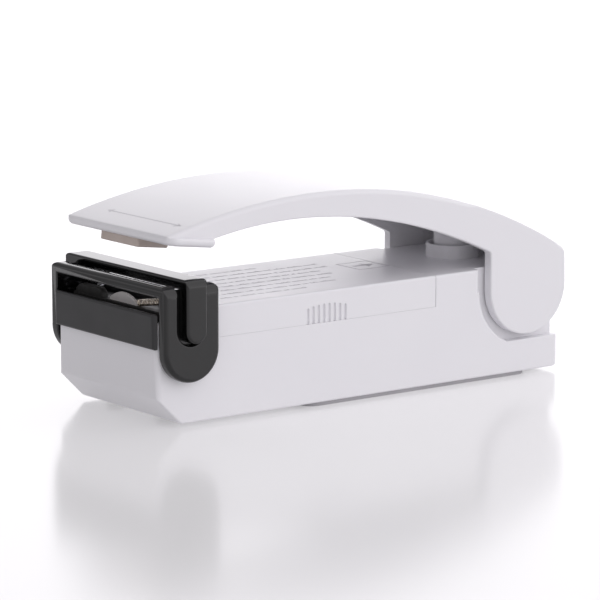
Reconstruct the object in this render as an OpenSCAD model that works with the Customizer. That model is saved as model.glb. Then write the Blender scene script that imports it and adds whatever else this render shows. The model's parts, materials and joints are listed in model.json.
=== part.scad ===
// Mini bag sealer: a battery housing with a hinged arched handle, a heater head and a sinking guard.
// Millimetres. X is the width, Y the length with the heater head at -Y, Z is up from the resting face.

/* [Battery cells] */
// Diameter of one cell
cell_d = 14.2; // [12:0.1:18]
// Length of one cell with its button
cell_len = 50.5; // [42:0.5:62]
// Diameter of the cell button
button_d = 5.5; // [4:0.1:7]
// Height of the cell button
button_h = 1.3; // [0.8:0.1:2]
// Room for a contact spring at the flat end of a cell
spring_room = 3.2; // [2.4:0.1:5]

/* [Housing] */
// Thickness of the moulded walls
wall = 1.5; // [1:0.1:2]
// Width left over beside the two cells
cell_slack = 2.4; // [1.2:0.1:4]
// Height from the top of the cells to the top of the cover
headroom = 6.2; // [5.4:0.1:9]
// How far the cover's side seam lies below the top of the cells
seam_drop = 0.2; // [0.2:0.1:2]
// Length of the heater head, in front of the cover
head_len = 12.9; // [12.7:0.1:16]
// Length of the rear housing, behind the battery bay
rear_len = 32.5; // [31:0.5:42]
// Slanted edge under the front wall
front_chamfer = 5.5; // [2:0.1:7]
// Radius of the upright front corners
front_r = 1.2; // [0.5:0.1:3]
// Width of the seam round the cover
seam = 0.12; // [0.05:0.01:0.4]
// Thickness of the magnet sheet under the housing
magnet_t = 0.7; // [0.5:0.1:1.5]
// Length of the magnet sheet
magnet_len = 56.4; // [40:0.1:62]

/* [Grip grooves] */
// Number of grooves on each side of the cover
groove_n = 8; // [4:1:12]
// Distance from groove to groove
groove_pitch = 1.3; // [0.9:0.1:2]
// Width of one groove
groove_w = 0.6; // [0.3:0.1:0.8]
// Depth of one groove
groove_depth = 0.4; // [0.2:0.1:0.8]
// Height of the longest groove
groove_h = 3.7; // [2:0.1:5]

/* [Heater head] */
// How far the black front panel stands proud of the white wall
panel_proud = 0.8; // [0.3:0.1:1.5]
// Height of the front panel
panel_h = 6.8; // [4:0.1:9]
// Length of the curved heater blade
blade_w = 9.2; // [7:0.1:12]
// Thickness of the heater blade
blade_t = 0.6; // [0.3:0.05:0.9]
// Radius of the blade's curved top
blade_r = 7.5; // [6:0.1:20]
// Outside diameter of the heater coil
coil_d = 1.4; // [1:0.05:1.6]
// Diameter of the heater wire
coil_wire = 0.34; // [0.2:0.02:0.4]
// Number of turns that show in the window
coil_turns = 9; // [5:1:12]

/* [Guard] */
// Thickness of the guard's side plates
plate_t = 2.4; // [2.2:0.1:3.5]
// Gap between a side plate and the housing
plate_gap = 0.5; // [0.45:0.05:1]
// Front-to-back size of the side plates
plate_len = 12.6; // [12:0.1:12.8]
// Front-to-back size of the guard's front bar
bar_len = 2; // [1.4:0.1:2]
// Height of the guard's front bar
bar_h = 2; // [1:0.1:2.4]
// Front-to-back size of the rear strap and its side lobes
strap_len = 4.7; // [4:0.1:5]
// Thickness of the rear strap
strap_t = 2; // [1.2:0.1:2.4]
// How far the lobes stand proud of the side plates
lobe_proud = 1.2; // [0.4:0.1:2]

/* [Handle] */
// Angle that the handle turns when it is pressed
press_angle = 6; // [4:0.5:6]
// Thickness of the handle's top wall, measured upright
shell_t = 1.9; // [1.4:0.1:2.6]
// Thickness of the handle's side walls and ears
ear_t = 2; // [1.6:0.1:3]
// Gap between an ear and the housing beside it
ear_gap = 0.5; // [0.3:0.05:1]
// Radius of the round ends of the ears
ear_r = 9.9; // [9:0.1:11]
// Running gap in front of the ears
ear_relief = 2.2; // [1.6:0.1:3]
// Diameter of the hinge axle
axle_d = 3; // [2:0.1:4]
// Clearance on diameter between the axle and the ears
axle_fit = 0.06; // [0.02:0.01:0.1]
// Front-to-back size of the flat nose plate
nose_len = 10.8; // [8:0.1:11]
// Width of the nose plate beyond the arm, each side
nose_lip = 0.8; // [0.1:0.1:1]
// Thickness of the nose plate at its front edge
nose_t = 1.6; // [1.4:0.1:2.4]
// Downward slant of the nose plate's underside
nose_tilt = 7.4; // [6:0.1:8]
// Width of the rubber press pad
pad_w = 12.7; // [8:0.1:20]
// Front-to-back size of the press pad
pad_len = 7.4; // [4:0.1:8]
// Thickness of the press pad
pad_t = 1.6; // [1:0.1:1.6]

/* [Return spring and switch] */
// Outside diameter of the spring cup under the handle
cup_d = 8; // [7.6:0.1:8.2]
// Outside diameter of the collar on the deck
collar_d = 11.2; // [11:0.1:12]
// Height of the collar on the deck
collar_h = 2.8; // [1.5:0.1:3]
// Wall of the collar
collar_wall = 0.6; // [0.5:0.1:0.8]
// Outside diameter of the return spring
return_d = 5.8; // [5.2:0.1:6]
// Wire of the return spring
return_wire = 0.7; // [0.4:0.05:0.8]
// Turns of the return spring
return_turns = 5; // [3:1:5]
// Diameter of the switch plunger
plunger_d = 2.8; // [2:0.1:3.2]

/* [Hidden] */
$fn = 64;
tiny = 0.01;
overcut = 1;

// Places of the housing, measured from the front wall and from the resting face
body_w = 2 * cell_d + cell_slack + 2 * wall;
half_w = body_w / 2;
inner_w = body_w - 2 * wall;
floor_z = magnet_t;
inside_z = floor_z + wall;
cell_z = inside_z + 0.2 + cell_d / 2;
cell_x = cell_d / 2 + 0.1;
seam_z = cell_z + cell_d / 2 - seam_drop;
body_top = cell_z + cell_d / 2 + headroom;
bay_y = head_len + 0.3;
terminal_t = 0.4;
bay_len = cell_len + spring_room + terminal_t;
bay_end = bay_y + bay_len;
cover_end = bay_end + 0.2;
body_len = bay_end + rear_len;
rear_r = 1.5;
magnet_y = bay_y + 22.6;

// Grip grooves
grip_y = bay_y + bay_len / 2 - 0.1;

// Hinge
pivot_y = body_len - 8.6;
pivot_z = body_top - 4.5;
recess_r = ear_r + ear_relief;
recess_step = 0.4;
arm_half = half_w + 0.5;
ear_in = arm_half - ear_t;
core_half = ear_in - ear_gap;
core_end = pivot_y + 6.6;
heel_end = pivot_y + 8;
heel_top = pivot_z - 2.3;
ledge_z = pivot_z - ear_r - 1.1;
blind = 1.5;
axle_half = ear_in + blind - 0.1;
rear_y = pivot_y + ear_r;

// Heater head
panel_top = body_top - 0.4;
panel_bottom = panel_top - panel_h;
panel_back = 0;
panel_half = half_w + plate_gap - 0.1;
block_half = half_w - wall - 0.1;
block_bottom = body_top - 8.2;
block_rear = bay_y - wall - 0.2;
sink_floor = body_top - 2.3;
heat_y = 3.33;
rib_len = 1.6;
rib_bottom = body_top - 3.3;
rib_top = body_top - 0.6;
rise_top = body_top - 1.1;
blade_top = body_top + 1.35;
blade_bottom = body_top - 2.1;
blade_x = 1.3;
shield_x = [-half_w + 2, -blade_w / 2 - 0.6];

// Where a point of the handle, given in Y and Z, comes to lie when the handle is pressed
function pressed(p) = let (d = p - [pivot_y, pivot_z], c = cos(press_angle), s = sin(press_angle))
    [pivot_y + d[0] * c - d[1] * s, pivot_z + d[0] * s + d[1] * c];

// Handle's nose and pad at rest
nose_y = 2.2;
nose_z = body_top + 14.1;
nose_half = arm_half + nose_lip;
nose_under = nose_z - nose_t;
nose_end = nose_y + nose_len;
nose_low = nose_under - nose_len * tan(nose_tilt);
nose_r = 2;
nose_step = 0.1;
pad_inset = 0.9;
pad_end = pad_inset + pad_len;
pad_heel = [nose_y + pad_end * cos(nose_tilt) - pad_t * sin(nose_tilt),
    nose_under - pad_end * sin(nose_tilt) - pad_t * cos(nose_tilt)];

// Guard at rest
plate_in = half_w + plate_gap;
plate_out = plate_in + plate_t;
plate_y = 0.1;
plate_r = plate_len / 2;
plate_bottom = body_top - 13.8;
bar_top = body_top + 4.9;
strap_top = body_top + 6.1;
strap_y = 4.3;
strap_mid = strap_y + strap_len / 2;
sink_end = strap_y + strap_len + 0.25;
lobe_out = plate_out + lobe_proud;
groove_floor = plate_in + 0.95;
lobe_in = groove_floor + 0.05;
channel_y = [2.9, 9.4];
channel_bottom = body_top - 6.6;
lobe_bottom = channel_bottom + 0.4;
rib_x = 1.6;
guide_y = 5;
guide_len = 2.3;
guide_z = [body_top - 8.3, body_top - 4.8];
guard_travel = strap_top - pressed(pad_heel)[1] + 0.12;
spring_x = half_w - 3.7;
pocket_d = 4;
pocket_bottom = body_top - 7.3;
guard_spring_d = 3.5;
guard_wire = 0.4;
guard_turns = 9;

// Arch and skirt of the handle at rest
arch_front = [nose_y, nose_z];
arch_rear = [rear_y - 1.1, body_top + 2.9];
arch_points = [arch_front, arch_front + [30.9, 8.9], arch_rear + [-31.6, 18.7], arch_rear];
skirt_front = [nose_end + 0.3, body_top + 12.8];
skirt_rear = [pivot_y - ear_r + 0.4, body_top + 3.1];
skirt_points = [skirt_front, skirt_front + [23.8, 5], skirt_rear + [-20, 9.5], skirt_rear];
arch_steps = 48;

// Return spring and switch
cup_y = pivot_y - 5.6;
cup_bottom = body_top + 1.6;
cup_seat = body_top + 6.7;
cup_bore = return_d + 0.6;
pin_d = 2.6;
pin_bottom = body_top + 1.8;
plunger_top = pin_bottom - 0.15;
plunger_travel = plunger_top - pressed([cup_y - pin_d / 2, pin_bottom])[1] + 0.09;
plunger_tip = body_top - 3.9;
plunger_fit = 0.2;
flange_d = 4.4;
leaf_w = 4;
leaf_t = 0.3;
leaf_top = plunger_tip - 0.1;
leaf_end = pivot_y - 2.7;
switch_y = bay_end + wall + 0.1;
switch_len = 5.2;
leaf_y = switch_y + switch_len + 0.15;
leaf_angle = atan((plunger_travel - 0.05) / (cup_y - plunger_d / 2 - leaf_y));
contact_end = leaf_end - 2;
fixed_z = leaf_top - leaf_t - (contact_end - leaf_y) * tan(leaf_angle) - 0.1;

// Wires
lead_d = 1.2;
lead_hole = lead_d + 0.6;
lead_z = cell_z + 3.5;
side_lead_x = core_half - wall - lead_d / 2 - 0.2;
side_lead_z = inside_z + lead_d / 2 + 0.25;
tab_y = bay_y - wall - 1;
tab_z = cell_z + 2.4;

// Fasteners
screw_d = 2;
screw_head_d = 3.6;
screw_head_h = 1.2;
boss_d = 5;
head_screw_x = 8.5;
head_screw_y = bay_y - wall - 3.9;
head_screw_z = floor_z + 6.3;
lid_y = [bay_end + 3.2, core_end - 1.2];
lid_half = 12;
lid_screw_x = 9.5;
lid_screw_y = [lid_y[0] + 2.4, lid_y[1] - 2.4];
boss_top = floor_z + 8;

// Whole object: the front panel is the foremost point and the ears the rearmost
mid_y = (rear_y - panel_proud) / 2;

// Shape functions
function bezier(p, t) =
    pow(1 - t, 3) * p[0] + 3 * pow(1 - t, 2) * t * p[1] + 3 * (1 - t) * t * t * p[2] + t * t * t * p[3];
function bezier_line(p, n) = [for (i = [0:n]) bezier(p, i / n)];
function flip(list) = [for (i = [len(list) - 1:-1:0]) list[i]];
function unit(v) = v / norm(v);

// Moves a piece from front-wall coordinates to the middle of the whole object
module place() {
    translate([0, -mid_y, 0]) children();
}

// Extrudes a side outline drawn in Y and Z across the width, from x0 to x1
module across(x0, x1) {
    translate([x0, 0, 0]) rotate([90, 0, 90]) linear_extrude(x1 - x0) children();
}

// A block given by its lowest and highest corners
module block(low, high) {
    translate(low) cube(high - low);
}

// A flat rounded rectangle, from corner to corner
module round_rect(low, high, r) {
    size = high - low;
    translate(low + [r, 0]) square([size[0] - 2 * r, size[1]]);
    translate(low + [0, r]) square([size[0], size[1] - 2 * r]);
    for (x = [low[0] + r, high[0] - r], y = [low[1] + r, high[1] - r]) translate([x, y]) circle(r);
}

// A round bar or bore along X
module rod_x(x0, x1, d) {
    translate([x0, 0, 0]) rotate([0, 90, 0]) cylinder(h = x1 - x0, d = d);
}

// A tube swept along points, with closed ends. No stretch of it may run along ref
module tube(path, d, sides, ref) {
    last = len(path) - 1;
    tangents = [for (i = [0:last]) unit(path[min(i + 1, last)] - path[max(i - 1, 0)])];
    rings = [for (i = [0:last])
        let (a = unit(cross(ref, tangents[i])), b = cross(tangents[i], a))
        for (k = [0:sides - 1]) path[i] + d / 2 * (cos(360 * k / sides) * a + sin(360 * k / sides) * b)];
    faces = [for (i = [0:last - 1], k = [0:sides - 1], h = [0, 1])
        let (p = i * sides + k, q = i * sides + (k + 1) % sides)
        h == 0 ? [p, p + sides, q + sides] : [p, q + sides, q]];
    start = [for (k = [1:sides - 2]) [0, k, k + 1]];
    end = [for (k = [1:sides - 2]) [last * sides, last * sides + k + 1, last * sides + k]];
    polyhedron(points = rings, faces = concat(faces, start, end));
}

// Points of a coil that climbs along Z, 8 rings a turn, with its radius going from r0 to r1
function coil_path(turns, height, r0, r1) =
    [for (i = [0:turns * 8]) let (t = i / (turns * 8), r = r0 + (r1 - r0) * t)
        [r * cos(45 * i), r * sin(45 * i), height * t]];

// Least gap between one turn of a coil and the next
function coil_gap(turns, height, r0, r1, wire) =
    norm([height / turns, (r1 - r0) / turns]) - wire;

// Side outline of the housing, solid
module body_outline() {
    polygon(concat(
        [[0, body_top], [0, floor_z + front_chamfer], [front_chamfer, floor_z]],
        [for (a = [-90:15:0]) [body_len - rear_r, floor_z + rear_r] + rear_r * [cos(a), sin(a)]],
        [[body_len, body_top]]));
}

// Side outline of the room that each ear turns in
module recess_outline() {
    difference() {
        union() {
            translate([pivot_y, pivot_z]) circle(recess_r);
            translate([pivot_y - recess_r - recess_step, pivot_z]) square([2 * recess_r + 20, 40]);
            translate([pivot_y, pivot_z - recess_r]) square([recess_r + 20, 40]);
        }
        translate([0, ledge_z - 50]) square([body_len + 50, 50]);
    }
}

// Rooms inside the housing: the head, the battery bay and the rear room
module housing_rooms() {
    room_half = inner_w / 2;
    intersection() {
        block([-room_half, wall, inside_z], [room_half, bay_y - wall, body_top + overcut]);
        across(-room_half, room_half) translate([0, 2.1]) body_outline();
    }
    block([-room_half, bay_y, inside_z], [room_half, bay_end, body_top + overcut]);
    rear_half = core_half - wall;
    block([-rear_half, bay_end + wall, inside_z], [rear_half, core_end - wall, body_top - wall]);
}

// White housing that carries everything
module base_shell() place() color("white") difference() {
    union() {
        difference() {
            intersection() {
                across(-half_w, half_w) body_outline();
                linear_extrude(100) round_rect([-half_w, 0], [half_w, body_len + front_r], front_r);
            }
            for (s = [-1, 1])
                across(s > 0 ? core_half : -half_w - overcut, s > 0 ? half_w + overcut : -core_half)
                    recess_outline();
            block([-half_w, heel_end, ledge_z], [half_w, body_len + overcut, body_top + overcut]);
            block([-half_w, core_end, heel_top], [half_w, body_len + overcut, body_top + overcut]);
            housing_rooms();
        }
        translate([0, cup_y, body_top - tiny]) cylinder(h = collar_h, d = collar_d);
        for (s = [-1, 1], y = lid_screw_y) lid_boss(s, y);
        for (x = [-head_screw_x, head_screw_x])
            translate([x, head_screw_y, floor_z + 1]) cylinder(h = block_bottom - floor_z - 1, d = boss_d);
        for (y = [bay_y + 12, bay_end - 14])
            cell_saddle(y);
    }
    // Head: open above the panel's foot and where the guard sinks
    out = half_w + overcut;
    over = body_top + overcut;
    block([-out, -overcut, panel_bottom], [out, panel_back + 0.1, over]);
    block([-inner_w / 2, -overcut, panel_bottom], [inner_w / 2, wall + overcut, over]);
    block([-out, -overcut, sink_floor], [out, sink_end, over]);
    // Seat of the battery cover
    block([-out, head_len - seam, seam_z], [out, cover_end + seam, over]);
    // Slots that guide the guard
    for (s = [-1, 1]) mirror([s > 0 ? 0 : 1, 0, 0])
        block([half_w - wall - overcut, guide_y - 0.15, guide_z[0] - guard_travel - 0.2],
            [half_w + overcut, guide_y + guide_len + 0.15, guide_z[1] + 0.2]);
    // Collar, plunger bore and axle bore
    translate([0, cup_y, body_top]) cylinder(h = collar_h + overcut, d = collar_d - 2 * collar_wall);
    translate([0, cup_y, body_top - wall - overcut]) cylinder(h = 5, d = plunger_d + plunger_fit);
    translate([0, pivot_y, pivot_z]) rod_x(-core_half - overcut, core_half + overcut, axle_d + 0.02);
    // Screw holes
    for (x = [-head_screw_x, head_screw_x]) translate([x, head_screw_y, 0]) {
        cylinder(h = 30, d = screw_d + 0.3);
        cylinder(h = head_screw_z + screw_head_h, d = screw_head_d + 0.5);
    }
    for (x = [-lid_screw_x, lid_screw_x], y = lid_screw_y)
        translate([x, y, 0]) cylinder(h = boss_top - 1, d = screw_d - 0.2);
    // Opening for the bottom lid
    block([-lid_half - 0.15, lid_y[0] - 0.15, 0], [lid_half + 0.15, lid_y[1] + 0.15, inside_z + 0.05]);
    // Wire holes in the two cross walls
    wire_hole(0, bay_y - wall - 1, lead_z, wall + 2);
    wire_hole(0, bay_end - 1, lead_z, wall + 2);
    wire_hole(side_lead_x, bay_y - wall - 1, side_lead_z, bay_len + 2 * wall + 2);
    for (x = [-cell_x, cell_x])
        block([x - 1, tab_y - 1, tab_z - 0.4], [x + 1, bay_y + 1, tab_z + 0.4]);
}

// Round hole along Y for a wire
module wire_hole(x, y, z, length) {
    translate([x, y, z]) rotate([-90, 0, 0]) cylinder(h = length, d = lead_hole);
}

// Screw post beside the lid's opening, webbed to the side wall (s is -1 or 1)
module lid_boss(s, y) {
    z = inside_z + 0.05;
    translate([s * lid_screw_x, y, z]) cylinder(h = boss_top - inside_z, d = boss_d);
    web_x = [s * lid_screw_x, s * (core_half - wall / 2)];
    block([min(web_x), y - 0.8, z], [max(web_x), y + 0.8, boss_top]);
}

// Low rib across the floor of the bay that the two cells lie in
module cell_saddle(y) {
    difference() {
        block([-inner_w / 2 - tiny, y, inside_z - tiny], [inner_w / 2 + tiny, y + 1.6, cell_z - 2.5]);
        for (x = [-cell_x, cell_x])
            translate([x, y - 1, cell_z]) rotate([-90, 0, 0]) cylinder(h = 4, d = cell_d + 0.2);
        wire_hole(side_lead_x, y - 1, side_lead_z, 4);
    }
}

// Lid under the rear room
module bottom_lid() place() color("whitesmoke") difference() {
    block([-lid_half, lid_y[0], floor_z], [lid_half, lid_y[1], inside_z]);
    for (x = [-lid_screw_x, lid_screw_x], y = lid_screw_y) translate([x, y, 0]) {
        cylinder(h = 10, d = screw_d + 0.3);
        cylinder(h = floor_z + screw_head_h, d = screw_head_d + 0.4);
    }
}

// Battery cover with its grip grooves
module battery_cover() place() color("white") {
    y0 = head_len;
    y1 = cover_end - seam;
    z0 = seam_z + seam;
    difference() {
        block([-half_w, y0, z0], [half_w, y1, body_top]);
        block([-inner_w / 2, y0 + 1, z0 - overcut], [inner_w / 2, y1 - 1, body_top - wall]);
        for (s = [-1, 1], i = [0:groove_n - 1])
            let (step = i - (groove_n - 1) / 2, y = grip_y + step * groove_pitch, drop = 0.045 * step * step)
                block([s * half_w - groove_depth, y - groove_w / 2, z0 - overcut],
                    [s * half_w + groove_depth, y + groove_w / 2, z0 + groove_h - drop]);
    }
    // Ribs that keep the cells down
    for (y = [bay_y + 12, bay_end - 14]) difference() {
        block([-inner_w / 2 - tiny, y, cell_z + 5], [inner_w / 2 + tiny, y + 1.4, body_top - wall + tiny]);
        for (x = [-cell_x, cell_x])
            translate([x, y - 1, cell_z]) rotate([-90, 0, 0]) cylinder(h = 4, d = cell_d + 0.6);
        block([-2.2, y - 1, 0], [2.2, y + 3, cell_z + cell_d / 2 + 1.5]);
        for (s = [-1, 1])
            block([s * half_w - 2.2, y - 1, 0], [s * half_w + 2.2, y + 3, z0]);
    }
}

// Flexible magnet sheet that the sealer rests on
module magnet_sheet() place() color("gray")
    linear_extrude(magnet_t)
        round_rect([-half_w + 0.4, magnet_y], [half_w - 0.4, magnet_y + magnet_len], 3);

// Black base of the heater head, with the front panel
module heater_base() place() color("#2b2b2d") difference() {
    union() {
        intersection() {
            block([-panel_half, -panel_proud, panel_bottom + 0.05], [panel_half, panel_back, panel_top]);
            linear_extrude(100)
                round_rect([-panel_half, -panel_proud], [panel_half, head_len], front_r);
        }
        block([-block_half, panel_back - tiny, panel_bottom + 0.05],
            [block_half, block_rear, sink_floor - 0.05]);
        block([-block_half, wall + 0.1, block_bottom], [block_half, block_rear, panel_bottom + 0.1]);
        block([-block_half, heat_y - rib_len / 2 - 0.05, sink_floor - 0.1],
            [block_half, sink_end, rise_top]);
        block([-block_half, sink_end - tiny, sink_floor - 0.1], [block_half, block_rear, body_top]);
    }
    block([-block_half - overcut, heat_y - rib_len / 2 - 0.05, rib_bottom],
        [block_half + overcut, heat_y + rib_len / 2 + 0.05, body_top]);
    for (x = [-spring_x, spring_x])
        translate([x, strap_mid, pocket_bottom]) cylinder(h = 20, d = pocket_d);
    for (x = [-head_screw_x, head_screw_x])
        translate([x, head_screw_y, block_bottom - overcut]) cylinder(h = 6.5, d = screw_d - 0.2);
}

// Dark insulating strip that holds the blade and the coil, with the shield on the far side
module heater_block() place() color("#3a3632") difference() {
    union() {
        block([-block_half + 0.1, heat_y - rib_len / 2, rib_bottom + 0.02],
            [block_half - 0.1, heat_y + rib_len / 2, rib_top]);
        translate([0, heat_y + 0.7, 0]) rotate([90, 0, 0]) linear_extrude(1.4) shield_outline();
    }
    block([blade_x - blade_w / 2 - 0.05, heat_y - blade_t / 2 - 0.02, blade_bottom - 0.05],
        [blade_x + blade_w / 2 + 0.05, heat_y + blade_t / 2 + 0.02, body_top + 9]);
    for (x = [coil_x0, coil_x1])
        translate([x, heat_y, rib_top - 1.2]) cylinder(h = 4, d = coil_wire + 0.3);
}

// Front view of the shield: a low block with rounded shoulders
module shield_outline() {
    top = body_top + 1.2;
    translate([shield_x[0], rib_top - tiny]) square([shield_x[1] - shield_x[0], top - rib_top - 1.1]);
    translate([shield_x[0] + 2.6, rib_top]) square([shield_x[1] - shield_x[0] - 4.4, top - rib_top]);
    intersection() {
        translate([shield_x[0], rib_top]) square([5.2, 4]);
        translate([shield_x[0] + 2.6, top - 2.6]) circle(2.6);
    }
    translate([shield_x[1] - 1.8, top - 1.8]) circle(1.8);
}

// Curved grey heater blade
module heater_blade() place() color("#8f8b8a")
    translate([blade_x, heat_y + blade_t / 2, 0]) rotate([90, 0, 0]) linear_extrude(blade_t) intersection() {
        translate([-blade_w / 2, blade_bottom]) square([blade_w, blade_top - blade_bottom]);
        translate([0, blade_top - blade_r]) circle(blade_r);
    }

// Heater coil: it rises towards the near side and both ends stand in the strip
coil_r = (coil_d - coil_wire) / 2;
coil_x0 = blade_x + blade_w / 2 + 0.5;
coil_x1 = coil_x0 + 7.6;
coil_z0 = body_top + 0.05;
coil_z1 = body_top + 1.35;
module heater_coil() place() color("#b9a994") {
    along = [coil_x1 - coil_x0, 0, coil_z1 - coil_z0];
    axis = unit(along);
    up = unit(cross(axis, [0, 1, 0]));
    n = coil_turns * 8;
    turns = [for (i = [0:n]) [coil_x0, heat_y, coil_z0] + along * i / n
        - coil_r * (cos(45 * i) * up * -1 + sin(45 * i) * [0, 1, 0])];
    legs = [for (z = [rib_top - 1, rib_top - 0.2]) [coil_x0, heat_y, z]];
    foot = [for (z = [rib_top - 0.2, rib_top - 1]) [coil_x1, heat_y, z]];
    tube(concat(legs, turns, foot), coil_wire, 6, [1, 0, 0]);
}

// Outer guard: front bar and two U-shaped side plates
module guard_bail() place() color("#2a2a2c") {
    block([-plate_out, plate_y, bar_top - bar_h], [plate_out, plate_y + bar_len, bar_top]);
    for (s = [0, 1]) mirror([s, 0, 0]) {
        difference() {
            across(plate_in, plate_out) plate_outline();
            across(groove_floor, plate_out + overcut) channel_outline();
            block([plate_in - overcut, channel_y[0], strap_top - strap_t - 0.05],
                [plate_out + overcut, channel_y[1], strap_top + overcut]);
        }
        block([plate_in - rib_x, guide_y, guide_z[0]], [plate_in + tiny, guide_y + guide_len, guide_z[1]]);
    }
}

// Side outline of a guard plate: round below, with a rounded shoulder at the rear
module plate_outline() {
    y1 = plate_y + plate_len;
    translate([plate_y + plate_r, plate_bottom + plate_r]) circle(plate_r);
    translate([plate_y, plate_bottom + plate_r]) square([plate_len, bar_top - plate_bottom - plate_r - 2]);
    translate([plate_y, bar_top - 2 - tiny]) square([plate_len - 1.6, 2 + tiny]);
    translate([y1 - 1.6, bar_top - 2]) circle(1.6);
}

// Side outline of the channel that the lobe sits in
module channel_outline() {
    r = (channel_y[1] - channel_y[0]) / 2;
    translate([channel_y[0] + r, channel_bottom + r]) circle(r);
    translate([channel_y[0], channel_bottom + r]) square([2 * r, 30]);
}

// Inner guard: rear strap across the head, with a lobe at each end
module guard_strap() place() color("#2d2d2f") {
    block([-lobe_out, strap_y, strap_top - strap_t], [lobe_out, strap_y + strap_len, strap_top]);
    for (s = [0, 1]) mirror([s, 0, 0]) across(lobe_in, lobe_out) {
        translate([strap_mid, lobe_bottom + strap_len / 2]) circle(strap_len / 2);
        translate([strap_y, lobe_bottom + strap_len / 2])
            square([strap_len, strap_top - strap_t - lobe_bottom - strap_len / 2 + tiny]);
    }
}

// Two compression springs under the strap
module guard_springs() place() color("silver") {
    height = strap_top - strap_t - pocket_bottom - guard_wire - 0.1;
    r = (guard_spring_d - guard_wire) / 2;
    for (x = [-spring_x, spring_x])
        translate([x, strap_mid, pocket_bottom + guard_wire / 2 + 0.05])
            tube(coil_path(guard_turns, height, r, r), guard_wire, 6, [0, 0, 1]);
    echo(guard_spring_gap = coil_gap(guard_turns, height, r, r, guard_wire));
}

// Side outline of the arm: a band between the top arch and the skirt line, and the round ear
module arm_outline() {
    polygon(concat(
        bezier_line(arch_points, arch_steps),
        [[rear_y, arch_rear[1] - 1.4], [rear_y, pivot_z], [pivot_y - ear_r, pivot_z]],
        [[pivot_y - ear_r, skirt_rear[1] - 0.5]],
        flip(bezier_line(skirt_points, arch_steps)),
        [[nose_end, nose_low + nose_t / 2], [nose_y, nose_under + nose_t / 2]]));
    translate([pivot_y, pivot_z]) circle(ear_r);
}

// Side outline of the hollow under the top wall, open below
module hollow_outline() {
    roof = [for (p = bezier_line(arch_points, arch_steps)) [p[0], p[1] - shell_t]];
    rear_wall = rear_y - shell_t;
    inside = [for (p = roof) if (p[0] > nose_end && p[0] < rear_wall) p];
    last = inside[len(inside) - 1];
    polygon(concat(
        [[nose_end, 0], [nose_end, inside[0][1]]],
        inside,
        [[rear_wall, last[1] - 0.6], [rear_wall, 0]]));
}

// White arched handle
module press_handle() place() color("white") difference() {
    union() {
        intersection() {
            difference() {
                across(-arm_half, arm_half) arm_outline();
                across(-ear_in, ear_in) hollow_outline();
            }
            linear_extrude(100)
                round_rect([-arm_half, nose_y + nose_lip], [arm_half, rear_y + 10], nose_r - nose_lip);
        }
        intersection() {
            across(-nose_half, nose_half) polygon([
                [nose_y, nose_under], [nose_end, nose_low],
                [nose_end, nose_low + nose_t], [nose_y, nose_z - nose_step]]);
            linear_extrude(100) round_rect([-nose_half, nose_y], [nose_half, nose_end + 10], nose_r);
        }
        difference() {
            translate([0, cup_y, cup_bottom]) cylinder(h = 12, d = cup_d);
            above_roof();
            translate([0, cup_y, cup_bottom - overcut])
                cylinder(h = cup_seat - cup_bottom + overcut, d = cup_bore);
        }
        translate([0, cup_y, pin_bottom]) cylinder(h = cup_seat - pin_bottom + tiny, d = pin_d);
    }
    // Blind bores for the axle
    for (s = [0, 1]) mirror([s, 0, 0]) translate([0, pivot_y, pivot_z])
        rod_x(ear_in - overcut, ear_in + blind, axle_d + axle_fit);
    // The rear wall ends at the hinge's height so that the handle can turn
    block([-ear_in, pivot_y, 0], [ear_in, rear_y + overcut, pivot_z - 1]);
}

// Everything above the middle of the handle's top wall
module above_roof() {
    roof = [for (p = bezier_line(arch_points, arch_steps)) [p[0], p[1] - shell_t / 2]];
    high = body_top + 60;
    last = roof[arch_steps];
    across(-arm_half, arm_half)
        polygon(concat([[0, high], [0, roof[0][1]]], roof, [[last[0] + 5, last[1]], [last[0] + 5, high]]));
}

// Tan rubber pad under the nose
module press_pad() place() color("#a08c7c")
    translate([0, nose_y, nose_under]) rotate([-nose_tilt, 0, 0])
        translate([-pad_w / 2, pad_inset, -pad_t]) cube([pad_w, pad_len, pad_t]);

// Steel axle through the housing into both ears
module hinge_axle() place() color("lightsteelblue")
    translate([0, pivot_y, pivot_z]) rod_x(-axle_half, axle_half, axle_d);

// Return spring between the deck and the cup
module return_spring() place() color("silver") {
    height = cup_seat - body_top - return_wire - 0.1;
    r = (return_d - return_wire) / 2;
    translate([0, cup_y, body_top + return_wire / 2 + 0.05])
        tube(coil_path(return_turns, height, r, r), return_wire, 6, [0, 0, 1]);
    echo(return_spring_gap = coil_gap(return_turns, height, r, r, return_wire));
}

// Plunger that passes the handle's last travel on to the switch
module switch_plunger() place() color("ivory") translate([0, cup_y, 0]) {
    translate([0, 0, plunger_tip]) cylinder(h = plunger_top - plunger_tip, d = plunger_d);
    translate([0, 0, body_top - wall - 1.15]) cylinder(h = 1, d = flange_d);
}

// Moving leaf of the switch
module switch_leaf() place() color("goldenrod")
    block([-leaf_w / 2, leaf_y, leaf_top - leaf_t], [leaf_w / 2, leaf_end, leaf_top]);

// Fixed leaf of the switch, clamped in the block
module switch_contact() place() color("goldenrod")
    block([-leaf_w / 2, switch_y + 1.5, fixed_z - leaf_t], [leaf_w / 2, leaf_end - 2, fixed_z]);

// Black block that holds the leaves
module switch_block() place() color("#303030") difference() {
    block([-4, switch_y, fixed_z - 2], [4, switch_y + switch_len, leaf_top + 1.7]);
    block([-leaf_w / 2, switch_y + 1.5, fixed_z - leaf_t], [leaf_w / 2, switch_y + 10, fixed_z]);
}

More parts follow.
